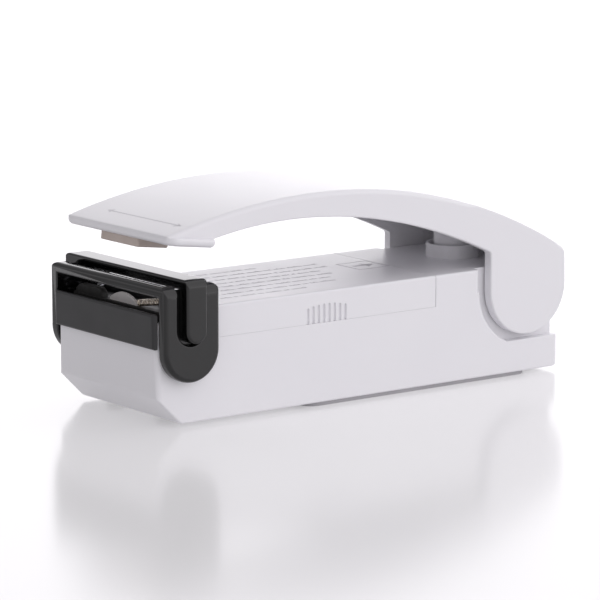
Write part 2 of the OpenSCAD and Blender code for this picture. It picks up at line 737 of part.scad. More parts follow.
// One cell lying along Y with its button at the end that dir points to
module cell(x, y0, dir) {
    can = cell_len - button_h;
    translate([x, dir < 0 ? y0 + button_h : y0, cell_z]) rotate([-90, 0, 0]) cylinder(h = can, d = cell_d);
    translate([x, dir < 0 ? y0 : y0 + can - tiny, cell_z]) rotate([-90, 0, 0])
        cylinder(h = button_h + tiny, d = button_d);
}
module cell_left() place() color("steelblue") cell(-cell_x, bay_y + terminal_t, -1);
module cell_right() place() color("steelblue") cell(cell_x, bay_end - terminal_t - cell_len, 1);

// Cone-shaped springs that press on the flat ends of the cells
module battery_springs() place() color("silver") {
    wire = 0.6;
    height = spring_room - terminal_t - wire - 0.1;
    turns = 2;
    echo(battery_spring_gap = coil_gap(turns, height, 4.2, 3, wire));
    translate([-cell_x, bay_end - terminal_t - wire / 2 - 0.05, cell_z]) rotate([90, 0, 0])
        tube(coil_path(turns, height, 4.2, 3), wire, 6, [0, 0, 1]);
    translate([cell_x, bay_y + terminal_t + wire / 2 + 0.05, cell_z]) rotate([-90, 0, 0])
        tube(coil_path(turns, height, 4.2, 3), wire, 6, [0, 0, 1]);
}

// Two separate contact plates at the front of the bay
module battery_terminals() place() color("silver") {
    for (x = [-cell_x, cell_x]) {
        block([x - 5, bay_y + 0.02, cell_z - 5], [x + 5, bay_y + terminal_t, cell_z + 5]);
        block([x - 0.8, tab_y, tab_z - 0.2], [x + 0.8, bay_y + terminal_t, tab_z + 0.2]);
    }
}

// One contact plate across both cells at the rear of the bay
module battery_bridge() place() color("silver")
    block([-cell_x - 5, bay_end - terminal_t, cell_z - 5], [cell_x + 5, bay_end - 0.02, cell_z + 2.6]);

// Wire from the switch's fixed leaf, between the cells, to the heater
module lead_heater() place() color("black") tube([
    [0, switch_y + 3, fixed_z - 2.05], [0, switch_y + 3, fixed_z - 2.8],
    [0, switch_y + 2.5, lead_z + 0.7], [0, switch_y + 1.8, lead_z + 0.2], [0, switch_y + 0.9, lead_z],
    for (t = [1:-0.2:0]) [0, bay_y + bay_len * t, lead_z],
    [0, 9, lead_z], [0, 7.8, lead_z + 0.2], [0, 7.2, lead_z + 0.7],
    [0, 7, lead_z + 1.1], [0, 7, block_bottom - 0.05]], lead_d, 8, [1, 0, 0]);

// Short wire from the front terminal of the left cell up to the heater
module lead_battery() place() color("firebrick") tube([
    for (z = [tab_z + 0.25, (tab_z + block_bottom) / 2, block_bottom - 0.05]) [-cell_x, tab_y + 0.3, z]],
    lead_d, 8, [1, 0, 0]);

// Wire from the front terminal of the right cell, along the side of the bay, to the moving leaf
module lead_switch() place() color("black") tube([
    [cell_x, tab_y + 0.3, tab_z - 0.25], [cell_x, tab_y + 0.3, tab_z - 2],
    [cell_x + 1.5, tab_y + 0.3, tab_z - 4.5], [side_lead_x - 0.8, tab_y + 0.3, side_lead_z + 2.2],
    [side_lead_x - 0.1, tab_y + 0.4, side_lead_z + 0.8], [side_lead_x, tab_y + 1.1, side_lead_z + 0.1],
    [side_lead_x, bay_y, side_lead_z],
    for (t = [0.2:0.2:0.8]) [side_lead_x, bay_y + bay_len * t, side_lead_z],
    [side_lead_x, bay_end + wall - 0.3, side_lead_z], [side_lead_x, bay_end + wall + 0.5, side_lead_z + 0.3],
    [side_lead_x, bay_end + wall + 0.75, side_lead_z + 1], [side_lead_x, bay_end + wall + 0.75, fixed_z - 4],
    [side_lead_x - 0.6, bay_end + wall + 0.75, fixed_z - 1.2],
    [side_lead_x - 2, bay_end + wall + 0.9, fixed_z],
    [4.05, bay_end + wall + 1, fixed_z + 0.4]], lead_d, 8, [1, -1, 0]);

// One pan-head screw pointing up, with its head at z
module screw(z, length) {
    translate([0, 0, z]) cylinder(h = screw_head_h - 0.1, d = screw_head_d);
    translate([0, 0, z]) cylinder(h = length, d = screw_d - 0.22);
}
module heater_screws() place() color("gray")
    for (x = [-head_screw_x, head_screw_x]) translate([x, head_screw_y, 0]) screw(head_screw_z, 10);
module lid_screws() place() color("gray")
    for (x = [-lid_screw_x, lid_screw_x], y = lid_screw_y) translate([x, y, 0]) screw(floor_z + 0.08, 6);

base_shell();
bottom_lid();
battery_cover();
magnet_sheet();
heater_base();
heater_block();
heater_blade();
heater_coil();
guard_bail();
guard_strap();
guard_springs();
press_handle();
press_pad();
hinge_axle();
return_spring();
switch_plunger();
switch_leaf();
switch_contact();
switch_block();
cell_left();
cell_right();
battery_springs();
battery_terminals();
battery_bridge();
lead_heater();
lead_battery();
lead_switch();
heater_screws();
lid_screws();
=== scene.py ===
# %% [markdown]
# # Mini bag sealer
# This sealer is a small hand tool that welds plastic bags shut. A white housing holds two cells, a black
# head at its front end holds the heater, and a long arched handle presses the bag onto it.
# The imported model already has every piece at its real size, joined and hinged. This lesson gives those
# pieces their looks: rounded moulded shells in place of the plain ones, a finish for each surface, and
# soft studio light. Nothing here moves or resizes the construction.

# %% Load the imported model
import json
import random
from math import acos, asin, atan2, ceil, copysign, cos, degrees, pi, radians, sin, tan

import bmesh
import bpy
from mathutils import Matrix, Vector


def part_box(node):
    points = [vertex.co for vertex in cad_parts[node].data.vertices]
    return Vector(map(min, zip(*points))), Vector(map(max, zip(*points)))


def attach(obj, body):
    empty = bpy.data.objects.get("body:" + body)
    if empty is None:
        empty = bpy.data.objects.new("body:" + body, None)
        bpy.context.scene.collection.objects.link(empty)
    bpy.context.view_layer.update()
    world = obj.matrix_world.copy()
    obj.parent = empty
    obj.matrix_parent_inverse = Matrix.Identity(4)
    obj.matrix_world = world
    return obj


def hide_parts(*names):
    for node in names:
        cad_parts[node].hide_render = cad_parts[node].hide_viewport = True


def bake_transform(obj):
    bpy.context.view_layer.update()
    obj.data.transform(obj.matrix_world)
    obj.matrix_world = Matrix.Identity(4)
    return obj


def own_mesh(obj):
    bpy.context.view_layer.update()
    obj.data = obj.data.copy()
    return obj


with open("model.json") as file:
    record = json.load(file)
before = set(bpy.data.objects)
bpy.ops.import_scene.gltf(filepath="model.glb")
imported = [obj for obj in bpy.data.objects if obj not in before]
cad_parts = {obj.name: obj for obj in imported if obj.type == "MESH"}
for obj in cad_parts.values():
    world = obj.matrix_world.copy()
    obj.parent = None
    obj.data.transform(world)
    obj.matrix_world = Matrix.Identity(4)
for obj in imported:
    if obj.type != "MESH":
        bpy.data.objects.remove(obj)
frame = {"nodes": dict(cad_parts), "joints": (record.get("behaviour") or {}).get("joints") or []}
scene = bpy.context.scene
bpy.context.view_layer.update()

# %% [markdown]
# Blender works in metres, but a maker thinks of this tool in millimetres from its front wall. So every
# size below is in millimetres: x runs across the width from the middle, y runs back from the front wall
# and z runs up from the table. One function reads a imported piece's box in those terms.

# %% Millimetres from the front wall
MM = 0.001
FRONT_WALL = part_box("base_shell")[0].y


def span(node):
    """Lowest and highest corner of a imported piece, in millimetres from the front wall"""
    wall = Vector((0, FRONT_WALL, 0))
    return [(corner - wall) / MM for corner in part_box(node)]


shell_low, shell_high = span("base_shell")
cover_low, cover_high = span("battery_cover")
handle_high = span("press_handle")[1]
HALF_W = shell_high.x
FLOOR_Z = shell_low.z
REAR_Y = shell_high.y
DECK_Z = cover_high.z
hinge = next(j for j in frame["joints"] if j["name"] == "handle_press")["pos_m"]
PIVOT = Vector(((hinge[1] - FRONT_WALL) / MM, hinge[2] / MM))
print("half width", round(HALF_W, 2), "deck", round(DECK_Z, 2), "hinge at", [round(c, 2) for c in PIVOT])

# %% [markdown]
# The camera stands where the photographer's did: 53 degrees round to the right of the front wall and
# about 10 degrees above the table, with a long lens, so the lines of the body stay almost parallel.

# %% Camera
AZIMUTH = 53.1
ELEVATION = 10.34
DISTANCE = 693.7
LENS, SENSOR = 210, 36
NEAREST = 0.01
AIM = Vector((2.62, 44.37, 18.32))


def to_metres(point):
    """A point in millimetres from the front wall, in Blender's metres"""
    return Vector(point) * MM + Vector((0, FRONT_WALL, 0))


def show(name, data):
    """A new object in the scene"""
    thing = bpy.data.objects.new(name, data)
    scene.collection.objects.link(thing)
    return thing


turn, tip = radians(AZIMUTH), radians(ELEVATION)
back = Vector((sin(turn) * cos(tip), -cos(turn) * cos(tip), sin(tip)))
camera = show("camera", bpy.data.cameras.new("camera"))
camera.data.lens = LENS
camera.data.sensor_width = SENSOR
camera.data.clip_start = NEAREST
camera.location = to_metres(AIM + back * DISTANCE)
camera.rotation_euler = back.to_track_quat("Z", "Y").to_euler()
bpy.context.scene.camera = camera
print("camera at", [round(c, 3) for c in camera.location])

# %% [markdown]
# Materials are small trees of nodes. One function adds a node, sets its options and fills its inputs,
# each with a number, a colour or another node's output. Colours are written as sRGB hex codes, as a
# paint chart would give them, and a second function turns them into the linear values that light needs.

# %% Node and colour helpers


def paint(code):
    """An sRGB hex colour as linear red, green, blue and alpha"""
    parts = [int(code[i:i + 2], 16) / 255 for i in (1, 3, 5)]
    return [*(c / 12.92 if c <= 0.04045 else ((c + 0.055) / 1.055) ** 2.4 for c in parts), 1]


def add(tree, kind, inputs=(), **settings):
    """Adds a node with its settings; inputs are values, other nodes or their outputs"""
    node = tree.nodes.new("ShaderNode" + kind)
    for name, value in settings.items():
        setattr(node, name, value)
    for name, value in dict(inputs).items():
        if isinstance(value, bpy.types.Node):
            value = next(socket for socket in value.outputs if socket.enabled)
        if isinstance(value, bpy.types.NodeSocket):
            tree.links.new(value, node.inputs[name])
        else:
            node.inputs[name].default_value = value
    return node


def new_material(name, colour):
    """A bare material, whose colour also shows in the viewport, and its tree"""
    material = bpy.data.materials.new(name)
    material.use_nodes = True
    material.node_tree.nodes.clear()
    material.diffuse_color = paint(colour)
    return material, material.node_tree


def surface(tree, inputs):
    """Ends a material's tree with its surface"""
    add(tree, "OutputMaterial", {"Surface": add(tree, "BsdfPrincipled", inputs)})


# %% [markdown]
# The studio is a pale, slightly glossy table top, in which the tool mirrors faintly, under soft light
# from all round. The table glows faintly, as if lit from below. The room is brighter behind the tool
# than in front of it, as before a lit white backdrop. That is why the front wall looks grey and the long
# side almost white, and it draws pale edges on the black parts. One lit screen far off to the left, a
# little behind the tool, whitens the middle of the arch.

# %% Table top
FLOOR_HALF = 4
floor = show("table_top", bpy.data.meshes.new("table_top"))
corners = [(x * FLOOR_HALF, y * FLOOR_HALF, 0) for x, y in ((-1, -1), (1, -1), (1, 1), (-1, 1))]
floor.data.from_pydata(corners, [], [(0, 1, 2, 3)])
gloss_white, tree = new_material("glossy_white_table", "#F4F4F6")
surface(tree, {"Base Color": paint("#BFBEC0"), "Roughness": 0.17, "IOR": 1.49,
               "Emission Color": paint("#FFFEFF"), "Emission Strength": 0.28})
floor.data.materials.append(gloss_white)
print("table top", 2 * FLOOR_HALF, "m wide")

# %% Light from the room
ROOM_WAY = Vector((0.45, 1.0, -0.65)).normalized()
DIM, BRIGHT = 0.34, 1.86
SCREEN_WAY = Vector((-0.8, 0.6, 0.1)).normalized()
SCREEN_EDGE, SCREEN_HEART, SCREEN_GLOW = 0.92, 0.985, 0.68
world = bpy.data.worlds.new("studio")
scene.world = world
world.use_nodes = True
world.node_tree.nodes.clear()
tree = world.node_tree
look = add(tree, "TexCoord").outputs["Generated"]
ahead = add(tree, "VectorMath", {0: look, 1: ROOM_WAY}, operation="DOT_PRODUCT")
room = add(tree, "MapRange", {
    "Value": ahead, "From Min": -1, "From Max": 1, "To Min": DIM, "To Max": BRIGHT})
aside = add(tree, "VectorMath", {0: look, 1: SCREEN_WAY}, operation="DOT_PRODUCT")
screen = add(tree, "MapRange", {
    "Value": aside, "From Min": SCREEN_EDGE, "From Max": SCREEN_HEART,
    "To Min": 0, "To Max": SCREEN_GLOW}, interpolation_type="SMOOTHSTEP")
glow = add(tree, "Math", {0: room, 1: screen}, operation="ADD")
air = add(tree, "Background", {"Color": paint("#F9F7FA"), "Strength": glow})
add(tree, "OutputWorld", {"Surface": air})
scene.view_settings.view_transform = "Standard"
print("the room glows from", DIM, "to", BRIGHT, "and the screen adds", SCREEN_GLOW)

# %% [markdown]
# Most of this tool is moulded plastic, so one recipe serves several materials: a colour that drifts a
# little from patch to patch, a gloss that varies as the mould's polish does, and a bump of two sizes,
# the slow waves of a wall that shrank as it cooled and the fine grain of the mould's surface.
# The grain of a real mould is finer than a picture shows, so it is drawn coarser. The patches have soft
# borders, because on white plastic anything sharper looks like a smudge.

# %% Recipe for a moulded surface
BUMP = 0.5
WAVE_DEPTH = 3


def moulded(name, colours, roughness, ior, patch, wave, grain, depth, metallic=0.0):
    """A moulded or formed surface: sizes of patch, wave and grain in mm, depth of the bump in mm"""
    material, tree = new_material(name, colours[0])
    place = add(tree, "TexCoord").outputs["Object"]
    drift = add(tree, "TexNoise", {"Vector": place, "Scale": 1 / (patch * MM), "Detail": 0.0})
    colour = add(tree, "Mix", {
        "Factor": drift, 6: paint(colours[0]), 7: paint(colours[1])}, data_type="RGBA")
    polish = add(tree, "TexNoise", {"Vector": place, "Scale": 1 / (wave * MM), "Detail": 1.0})
    gloss = add(tree, "MapRange", {
        "Value": polish, "To Min": roughness[0], "To Max": roughness[1]})
    fine = add(tree, "TexNoise", {"Vector": place, "Scale": 1 / (grain * MM), "Detail": 2.0})
    waves = add(tree, "Bump", {
        "Height": polish, "Strength": BUMP, "Distance": depth * WAVE_DEPTH * MM})
    bump = add(tree, "Bump", {
        "Height": fine, "Strength": BUMP, "Distance": depth * MM, "Normal": waves})
    surface(tree, {
        "Base Color": colour, "Roughness": gloss, "IOR": ior, "Metallic": metallic, "Normal": bump})
    return material


# %% Plastics
ABS_IOR = 1.54

# Satin white: broad soft highlights and no mirror image
white_abs = moulded(
    "white_abs_satin_moulded", ("#EDECEF", "#EAE9ED"), (0.27, 0.33), ABS_IOR, 18, 7.0, 0.3, 0.0005)
# Satin black: an even dark grey sheen
black_abs = moulded(
    "black_abs_satin_moulded", ("#212123", "#252527"), (0.42, 0.5), ABS_IOR, 12, 5.0, 0.3, 0.0004)
# Gloss black: almost a mirror, which shows mostly as pale lines along its rounded edges
guard_black = moulded(
    "black_abs_gloss_moulded", ("#060607", "#090909"), (0.08, 0.12), ABS_IOR, 12, 5.0, 0.3, 0.0002)
print("plastics:", white_abs.name, black_abs.name, guard_black.name)

# %% [markdown]
# The head carries a strip of pressed mica board, a fired ceramic blade and a coil of resistance wire.
# The pad that presses the bag down is silicone rubber, and the flat sheet under the housing is rubber
# filled with magnet powder. The rest is steel, brass, nickel plate, shrunk film and cable plastic.

# %% Board, ceramic, rubber and other plastics

# Dull and dark, and uneven as pressed flakes are
mica = moulded("mica_board_pressed", ("#171614", "#11100F"), (0.5, 0.75), 1.58, 2.0, 0.8, 0.25, 0.006)
# Dry pale grey, with hardly a highlight
ceramic = moulded("grey_ceramic_fired", ("#E0DCDB", "#D2CECD"), (0.45, 0.65), 1.65, 1.5, 0.7, 0.25, 0.006)
# Matt tan with a faint wide sheen
silicone = moulded("tan_silicone_moulded", ("#CCC0B8", "#BDB0A8"), (0.5, 0.68), 1.41, 3.0, 1.0, 0.3, 0.006)
# Flat grey, as rolled rubber full of powder is
magnet = moulded(
    "magnet_rubber_calendered", ("#A9A7AB", "#9D9B9F"), (0.6, 0.8), 1.52, 3.0, 1.2, 0.3, 0.006)
# Waxy cream
ivory = moulded("ivory_nylon_moulded", ("#E6DFC9", "#DDD4B8"), (0.35, 0.5), 1.53, 4.0, 1.0, 0.3, 0.003)
# Brownish black with a dull shine
phenolic = moulded("black_phenolic_moulded", ("#2B2A29", "#222120"), (0.35, 0.55), 1.6, 3.0, 1.0, 0.3, 0.004)
# A soft line of light along each lead
red_pvc = moulded("red_pvc_extruded", ("#A8261F", "#8E1F1A"), (0.35, 0.5), 1.53, 4.0, 0.9, 0.3, 0.003)
black_pvc = moulded("black_pvc_extruded", ("#1D1D1E", "#161617"), (0.35, 0.5), 1.53, 4.0, 0.9, 0.3, 0.003)
# Pale grey and flatter than the plastic round it
grey_ink = moulded("grey_ink_printed", ("#D7D5DA", "#DCDADF"), (0.45, 0.6), 1.5, 1.5, 0.6, 0.2, 0.002)
print("other finishes:", mica.name, ceramic.name, silicone.name, magnet.name, ivory.name, phenolic.name)

# %% Metals
METAL_IOR = 1.5


def metal(name, colours, roughness, patch, wave, depth):
    """A drawn, rolled, ground or plated metal"""
    return moulded(name, colours, roughness, METAL_IOR, patch, wave, 0.2, depth, 1.0)


# Warm silver turns with dark gaps
nichrome = metal("nichrome_wire_drawn", ("#E2D9CE", "#CDC2B3"), (0.16, 0.26), 0.8, 0.4, 0.002)
# Clean grey silver
spring_steel = metal("spring_steel_drawn", ("#B9BABD", "#A3A5A9"), (0.2, 0.35), 1.0, 0.5, 0.002)
# Sharp bright lines along a round bar
ground_steel = metal("axle_steel_ground", ("#B4B6B9", "#A7A9AC"), (0.15, 0.3), 1.0, 0.5, 0.001)
# Warm yellow, softly mirrored
brass = metal("leaf_brass_rolled", ("#CDB06A", "#BE9F57"), (0.2, 0.35), 2.0, 0.8, 0.001)
# Silver with a yellow cast
nickel = metal("nickel_plate_on_steel", ("#C2BFB6", "#B1ADA3"), (0.2, 0.35), 2.0, 0.8, 0.001)
# Bluish and a little cloudy
zinc = metal("zinc_plated_steel", ("#B3B5B8", "#9C9FA4"), (0.25, 0.42), 1.5, 0.6, 0.002)
print("metals:", nichrome.name, spring_steel.name, ground_steel.name, brass.name, nickel.name, zinc.name)

# %% [markdown]
# ## Tools for the meshes
# A moulded part is easiest to draw as its toolmaker did: an outline from the side, the front or above,
# pulled to its width, joined to others and cut by others. Outlines are lists of corners, and each corner
# can have a radius of its own.

# %% Outlines
ARC_SAG = 0.004
LONGEST_STEP = 22.5


def arc_count(radius, sweep):
    """How many chords keep an arc of that many degrees round, to within a few thousandths of a mm"""
    step = min(LONGEST_STEP, degrees(2 * acos(1 - ARC_SAG / radius)))
    return max(2, ceil(abs(sweep) / step))


def arc(centre, radius, start, end):
    """Points of a round stretch between two angles in degrees"""
    count = arc_count(radius, end - start)
    angles = [radians(start + (end - start) * i / count) for i in range(count + 1)]
    return [(centre[0] + radius * cos(a), centre[1] + radius * sin(a)) for a in angles]


def circle(centre, diameter):
    """Points of a full circle"""
    return arc(centre, diameter / 2, 0, 360)[:-1]


def bezier(points, count):
    """Points of a cubic curve"""
    a, b, c, d = [Vector(p) for p in points]
    steps = [(i / count, 1 - i / count) for i in range(count + 1)]
    return [tuple(a * u ** 3 + b * 3 * t * u ** 2 + c * 3 * t * t * u + d * t ** 3) for t, u in steps]


def rounded(corners):
    """An outline from corners (u, v) or (u, v, radius), with an arc at each corner that has a radius"""
    outline = []
    for i, (u, v, *radius) in enumerate(corners):
        here = Vector((u, v))
        if not radius or not radius[0]:
            outline.append((u, v))
            continue
        before = (Vector(corners[i - 1][:2]) - here).normalized()
        after = (Vector(corners[(i + 1) % len(corners)][:2]) - here).normalized()
        half = before.angle(after) / 2
        centre = here + (before + after).normalized() * radius[0] / sin(half)
        spoke = here + before * radius[0] / tan(half) - centre
        sweep = pi - 2 * half
        if before.x * after.y - before.y * after.x > 0:
            sweep = -sweep
        count = arc_count(radius[0], degrees(sweep))
        turns = [Matrix.Rotation(sweep * k / count, 2) for k in range(count + 1)]
        outline += [tuple(centre + turned @ spoke) for turned in turns]
    return outline


def rectangle(u0, v0, u1, v1, low_r=0, high_r=None):
    """A rectangle with a corner radius; its upper corners can have another"""
    high_r = low_r if high_r is None else high_r
    return rounded([(u0, v0, low_r), (u1, v0, low_r), (u1, v1, high_r), (u0, v1, high_r)])


# %% [markdown]
# A moulded edge is never sharp. So the function that pulls an outline into a solid rounds the edges at
# both ends itself: it lays a few rings that step in from the outline along a quarter circle. A solid that
# is used as a cutter takes a negative radius. It flares out instead, and leaves a rounded edge behind.

# %% Solids from outlines
# The outline's two directions and the way it is pulled, for each axis
AXES = {
    "x": ((0, 1, 0), (0, 0, 1), (1, 0, 0)),
    "y": ((1, 0, 0), (0, 0, 1), (0, 1, 0)),
    "z": ((1, 0, 0), (0, 1, 0), (0, 0, 1)),
}
EDGE_STEPS = 4


def inward_steps(outline):
    """For each corner, the step that moves both of its sides inwards by 1"""
    points = [Vector(p) for p in outline]
    area = sum(a.x * b.y - a.y * b.x for a, b in zip(points, points[1:] + points[:1]))
    sides = [(b - a).normalized() for a, b in zip(points[-1:] + points[:-1], points)]
    normals = [Vector((-s.y, s.x)) * (1 if area > 0 else -1) for s in sides]
    return [(n + m) / (1 + n.dot(m)) for n, m in zip(normals, normals[1:] + normals[:1])]


def into_scene(name, work):
    """Ends a bmesh and shows it as an object"""
    mesh = bpy.data.meshes.new(name)
    work.to_mesh(mesh)
    work.free()
    return show(name, mesh)


def from_rings(name, rings):
    """A closed solid through rings of points, with flat ends"""
    work = bmesh.new()
    loops = [[work.verts.new(p) for p in ring] for ring in rings]
    for low, high in zip(loops, loops[1:]):
        for i in range(len(low)):
            work.faces.new((low[i - 1], low[i], high[i], high[i - 1]))
    work.faces.new(loops[0])
    work.faces.new(loops[-1])
    bmesh.ops.recalc_face_normals(work, faces=work.faces)
    return into_scene(name, work)


def mould(name, axis, outline, start, end, start_edge=0, end_edge=0, beyond=0):
    """Pulls an outline along an axis. An edge is a radius or gives one for a point, and a cutter can run
    on beyond its flared end"""
    across, up, along = (Vector(way) for way in AXES[axis])
    steps_in = inward_steps(outline)

    def edge_rings(level, way, edge):
        radii = [edge(*p) if callable(edge) else edge for p in outline]
        turns = [pi / 2 * k / EDGE_STEPS for k in range(EDGE_STEPS, -1, -1)] if any(radii) else [0]
        rings = []
        for t in turns:
            flat = [Vector(p) + m * r * (1 - cos(t)) for p, m, r in zip(outline, steps_in, radii)]
            rise = [level + way * abs(r) * (1 - sin(t)) for r in radii]
            rings.append([across * p.x + up * p.y + along * h for p, h in zip(flat, rise)])
        return rings

    rings = edge_rings(start, 1, start_edge) + edge_rings(end, -1, end_edge)[::-1]
    if beyond:
        rings.append([p + along * beyond for p in rings[-1]])
    return from_rings(name, rings)


def block(name, low, high):
    """A square-edged block between two corners, for cutting and joining"""
    return mould(name, "z", rectangle(low[0], low[1], high[0], high[1]), low[2], high[2])


def post(name, x, y, z0, z1, diameter, low_edge=0, high_edge=0):
    """A round post or bore that stands up"""
    return mould(name, "z", circle((x, y), diameter), z0, z1, low_edge, high_edge)


def both_sides(name, outline, x0, x1, *edges, **more):
    """A solid on the right side, and its mirror image on the left"""
    right = mould(name, "x", outline, x0, x1, *edges, **more)
    left = show(name, right.data.copy())
    left.data.transform(Matrix.Scale(-1, 4, (1, 0, 0)))
    left.data.flip_normals()
    return right, left


def gather(name, solids):
    """Several solids as one piece"""
    work = bmesh.new()
    for solid in solids:
        work.from_mesh(solid.data)
        bpy.data.objects.remove(solid)
    return into_scene(name, work)


# %% [markdown]
# Solids are joined and cut with Blender's manifold solver, which keeps a closed solid closed. After each
# step, points that coincide become one and flat neighbours become one face, so no slivers pile up.

# %% Joining and cutting
FLAT = radians(0.1)
SAME_POINT = 0.0005


def bake(piece):
    """Turns the piece's modifiers into real mesh"""
    ready = piece.evaluated_get(bpy.context.evaluated_depsgraph_get())
    mesh = bpy.data.meshes.new_from_object(ready)
    piece.modifiers.clear()
    piece.data = mesh


def combine(piece, *others, how="DIFFERENCE"):
    """Cuts with other solids, or joins them, or keeps what is shared"""
    for other in others:
        step = piece.modifiers.new("combine", "BOOLEAN")
        step.operation = how
        step.solver = "MANIFOLD"
        step.object = other
        bake(piece)
        bpy.data.objects.remove(other)
        work = bmesh.new()
        work.from_mesh(piece.data)
        bmesh.ops.remove_doubles(work, verts=work.verts, dist=SAME_POINT)
        bmesh.ops.dissolve_limit(work, angle_limit=FLAT, verts=work.verts, edges=work.edges)
        work.to_mesh(piece.data)
        work.free()
    return piece


def join(piece, *others):
    """Joins other solids to a piece"""
    return combine(piece, *others, how="UNION")


# %% Giving a piece its finish and its place
SHARP = radians(30)
BY_AREA = 100


def dress(piece, material, body, slot, *nodes):
    """Puts a piece in metres, smooths its shading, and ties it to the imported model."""
    work = bmesh.new()
    work.from_mesh(piece.data)
    loose = sum(len(edge.link_faces) != 2 for edge in work.edges)
    print(piece.name, len(work.faces), "faces,", round(work.calc_volume()), "mm3, open edges:", loose)
    work.free()
    piece.data.transform(Matrix.Translation((0, FRONT_WALL, 0)) @ Matrix.Scale(MM, 4))
    piece.data.materials.clear()
    piece.data.materials.append(material)
    piece.data.shade_smooth()
    piece.data.set_sharp_from_angle(angle=SHARP)
    even = piece.modifiers.new("even_shading", "WEIGHTED_NORMAL")
    even.keep_sharp = True
    even.weight = BY_AREA
    if body:
        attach(piece, body)
    if nodes:
        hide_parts(*nodes)
    return piece


# %% [markdown]
# ## Housing
# The housing is one thick-walled tub. Seen from the side it has a slanted toe under the front wall and
# a rounded heel, and its upright corners are round. It is drawn as the side outline, kept inside the
# plan outline. The ears of the handle turn in a recess at each side, which leaves a narrow core between
# them and a ledge below them. The recess has a soft outer edge, so its cutter flares.

# %% Housing: outer form
TOE, TOE_R, HEEL_R = 5.5, 1.5, 1.5
CORNER_R, BODY_EDGE = 1.2, 0.45
CORE_HALF = 14.9
CORE_END, HEEL_END, HEEL_TOP = 97.8, 99.2, 16.0
LEDGE_Z, LEDGE_EDGE, SIDE_EDGE, EDGE_FADE = 7.3, 0.25, 0.8, 5.0
RECESS_R, RECESS_STEP = 12.1, 0.4
# How far a cutter runs past the surface that it cuts
OVER = 1.0
side_outline = rounded([
    (0, DECK_Z), (0, FLOOR_Z + TOE, TOE_R), (TOE, FLOOR_Z, TOE_R),
    (REAR_Y, FLOOR_Z, HEEL_R), (REAR_Y, DECK_Z)])
plan_outline = rectangle(-HALF_W, 0, HALF_W, REAR_Y, CORNER_R)
housing = mould("housing_shell", "x", side_outline, -HALF_W, HALF_W, BODY_EDGE, BODY_EDGE)
combine(housing, mould("plan", "z", plan_outline, -OVER, DECK_Z + OVER), how="INTERSECT")

recess_front = PIVOT.x - RECESS_R - RECESS_STEP
ledge_turn = 180 + degrees(asin((PIVOT.y - LEDGE_Z) / RECESS_R))
recess_outline = [(recess_front, DECK_Z + 2 * OVER), (recess_front, PIVOT.y)]
recess_outline += arc(PIVOT, RECESS_R, 180, ledge_turn)
recess_outline += [(REAR_Y + 2 * OVER, LEDGE_Z), (REAR_Y + 2 * OVER, DECK_Z + 2 * OVER)]


def recess_edge(y, z):
    """The recess is softest along its upright side, and crisp along the ledge"""
    return -LEDGE_EDGE - (SIDE_EDGE - LEDGE_EDGE) * min(1, max(0, (z - LEDGE_Z) / EDGE_FADE))


combine(
    housing,
    *both_sides("recess", recess_outline, CORE_HALF, HALF_W, 0, recess_edge, beyond=OVER),
    block("heel_cut", (-HALF_W, HEEL_END, LEDGE_Z), (HALF_W, REAR_Y + OVER, DECK_Z + OVER)),
    block("rear_cut", (-HALF_W, CORE_END, HEEL_TOP), (HALF_W, REAR_Y + OVER, DECK_Z + OVER)))
print("outer form:", len(housing.data.polygons), "faces")

# %% [markdown]
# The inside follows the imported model: a room for the head, the battery bay and the rear room with the
# switch. Low saddles carry the cells, and posts take the screws. The seats of the battery cover and of
# the head are cut out of the top, and a collar stands on the deck round the handle's spring.

# %% Housing: rooms and seats
WALL = 1.5
ROOM_HALF = HALF_W - WALL
ROOM_Z = FLOOR_Z + WALL
ROOM_RISE = 2.1
BAY = (13.2, 67.3)
SEAM, SIDE_SEAM = 0.12, 0.02
COVER_FOOT = 16.52
PANEL_FOOT, PANEL_GAP = 15.6, 0.1
SINK_END, SINK_Z = 9.25, 20.5
over_z = DECK_Z + OVER
head_room = [(WALL, over_z), (WALL, FLOOR_Z + TOE + ROOM_RISE - WALL), (TOE, FLOOR_Z + ROOM_RISE),
             (BAY[0] - WALL, FLOOR_Z + ROOM_RISE), (BAY[0] - WALL, over_z)]
combine(
    housing,
    mould("head_room", "x", head_room, -ROOM_HALF, ROOM_HALF),
    block("bay", (-ROOM_HALF, BAY[0], ROOM_Z), (ROOM_HALF, BAY[1], over_z)),
    block("rear_room", (WALL - CORE_HALF, BAY[1] + WALL, ROOM_Z),
          (CORE_HALF - WALL, CORE_END - WALL, DECK_Z - WALL)),
    block("panel_seat", (-HALF_W - OVER, -OVER, PANEL_FOOT), (HALF_W + OVER, PANEL_GAP, over_z)),
    block("panel_back", (-ROOM_HALF, -OVER, PANEL_FOOT), (ROOM_HALF, WALL + OVER, over_z)),
    block("sink", (-HALF_W - OVER, -OVER, SINK_Z), (HALF_W + OVER, SINK_END, over_z)),
    block("cover_seat", (-HALF_W - OVER, cover_low.y - SEAM, COVER_FOOT - SIDE_SEAM),
          (HALF_W + OVER, cover_high.y + SEAM, over_z)))
print("hollowed:", len(housing.data.polygons), "faces")

# %% Housing: saddles and posts
CELL_X, CELL_Z, CELL_D = 7.2, 9.5, 14.2
SADDLES = (BAY[0] + 12, BAY[1] - 14)
SADDLE_T, SADDLE_DROP, SADDLE_ROOM = 1.6, 2.5, 0.2
BOSS_D, BLOCK_Z = 5.0, 14.6
LID_POST_Z, WEB_HALF = 8.7, 0.8
HEAD_SCREWS = [(x, 7.8) for x in (-8.5, 8.5)]
LID_SCREWS = [(x, y) for x in (-9.5, 9.5) for y in (72.9, 94.2)]
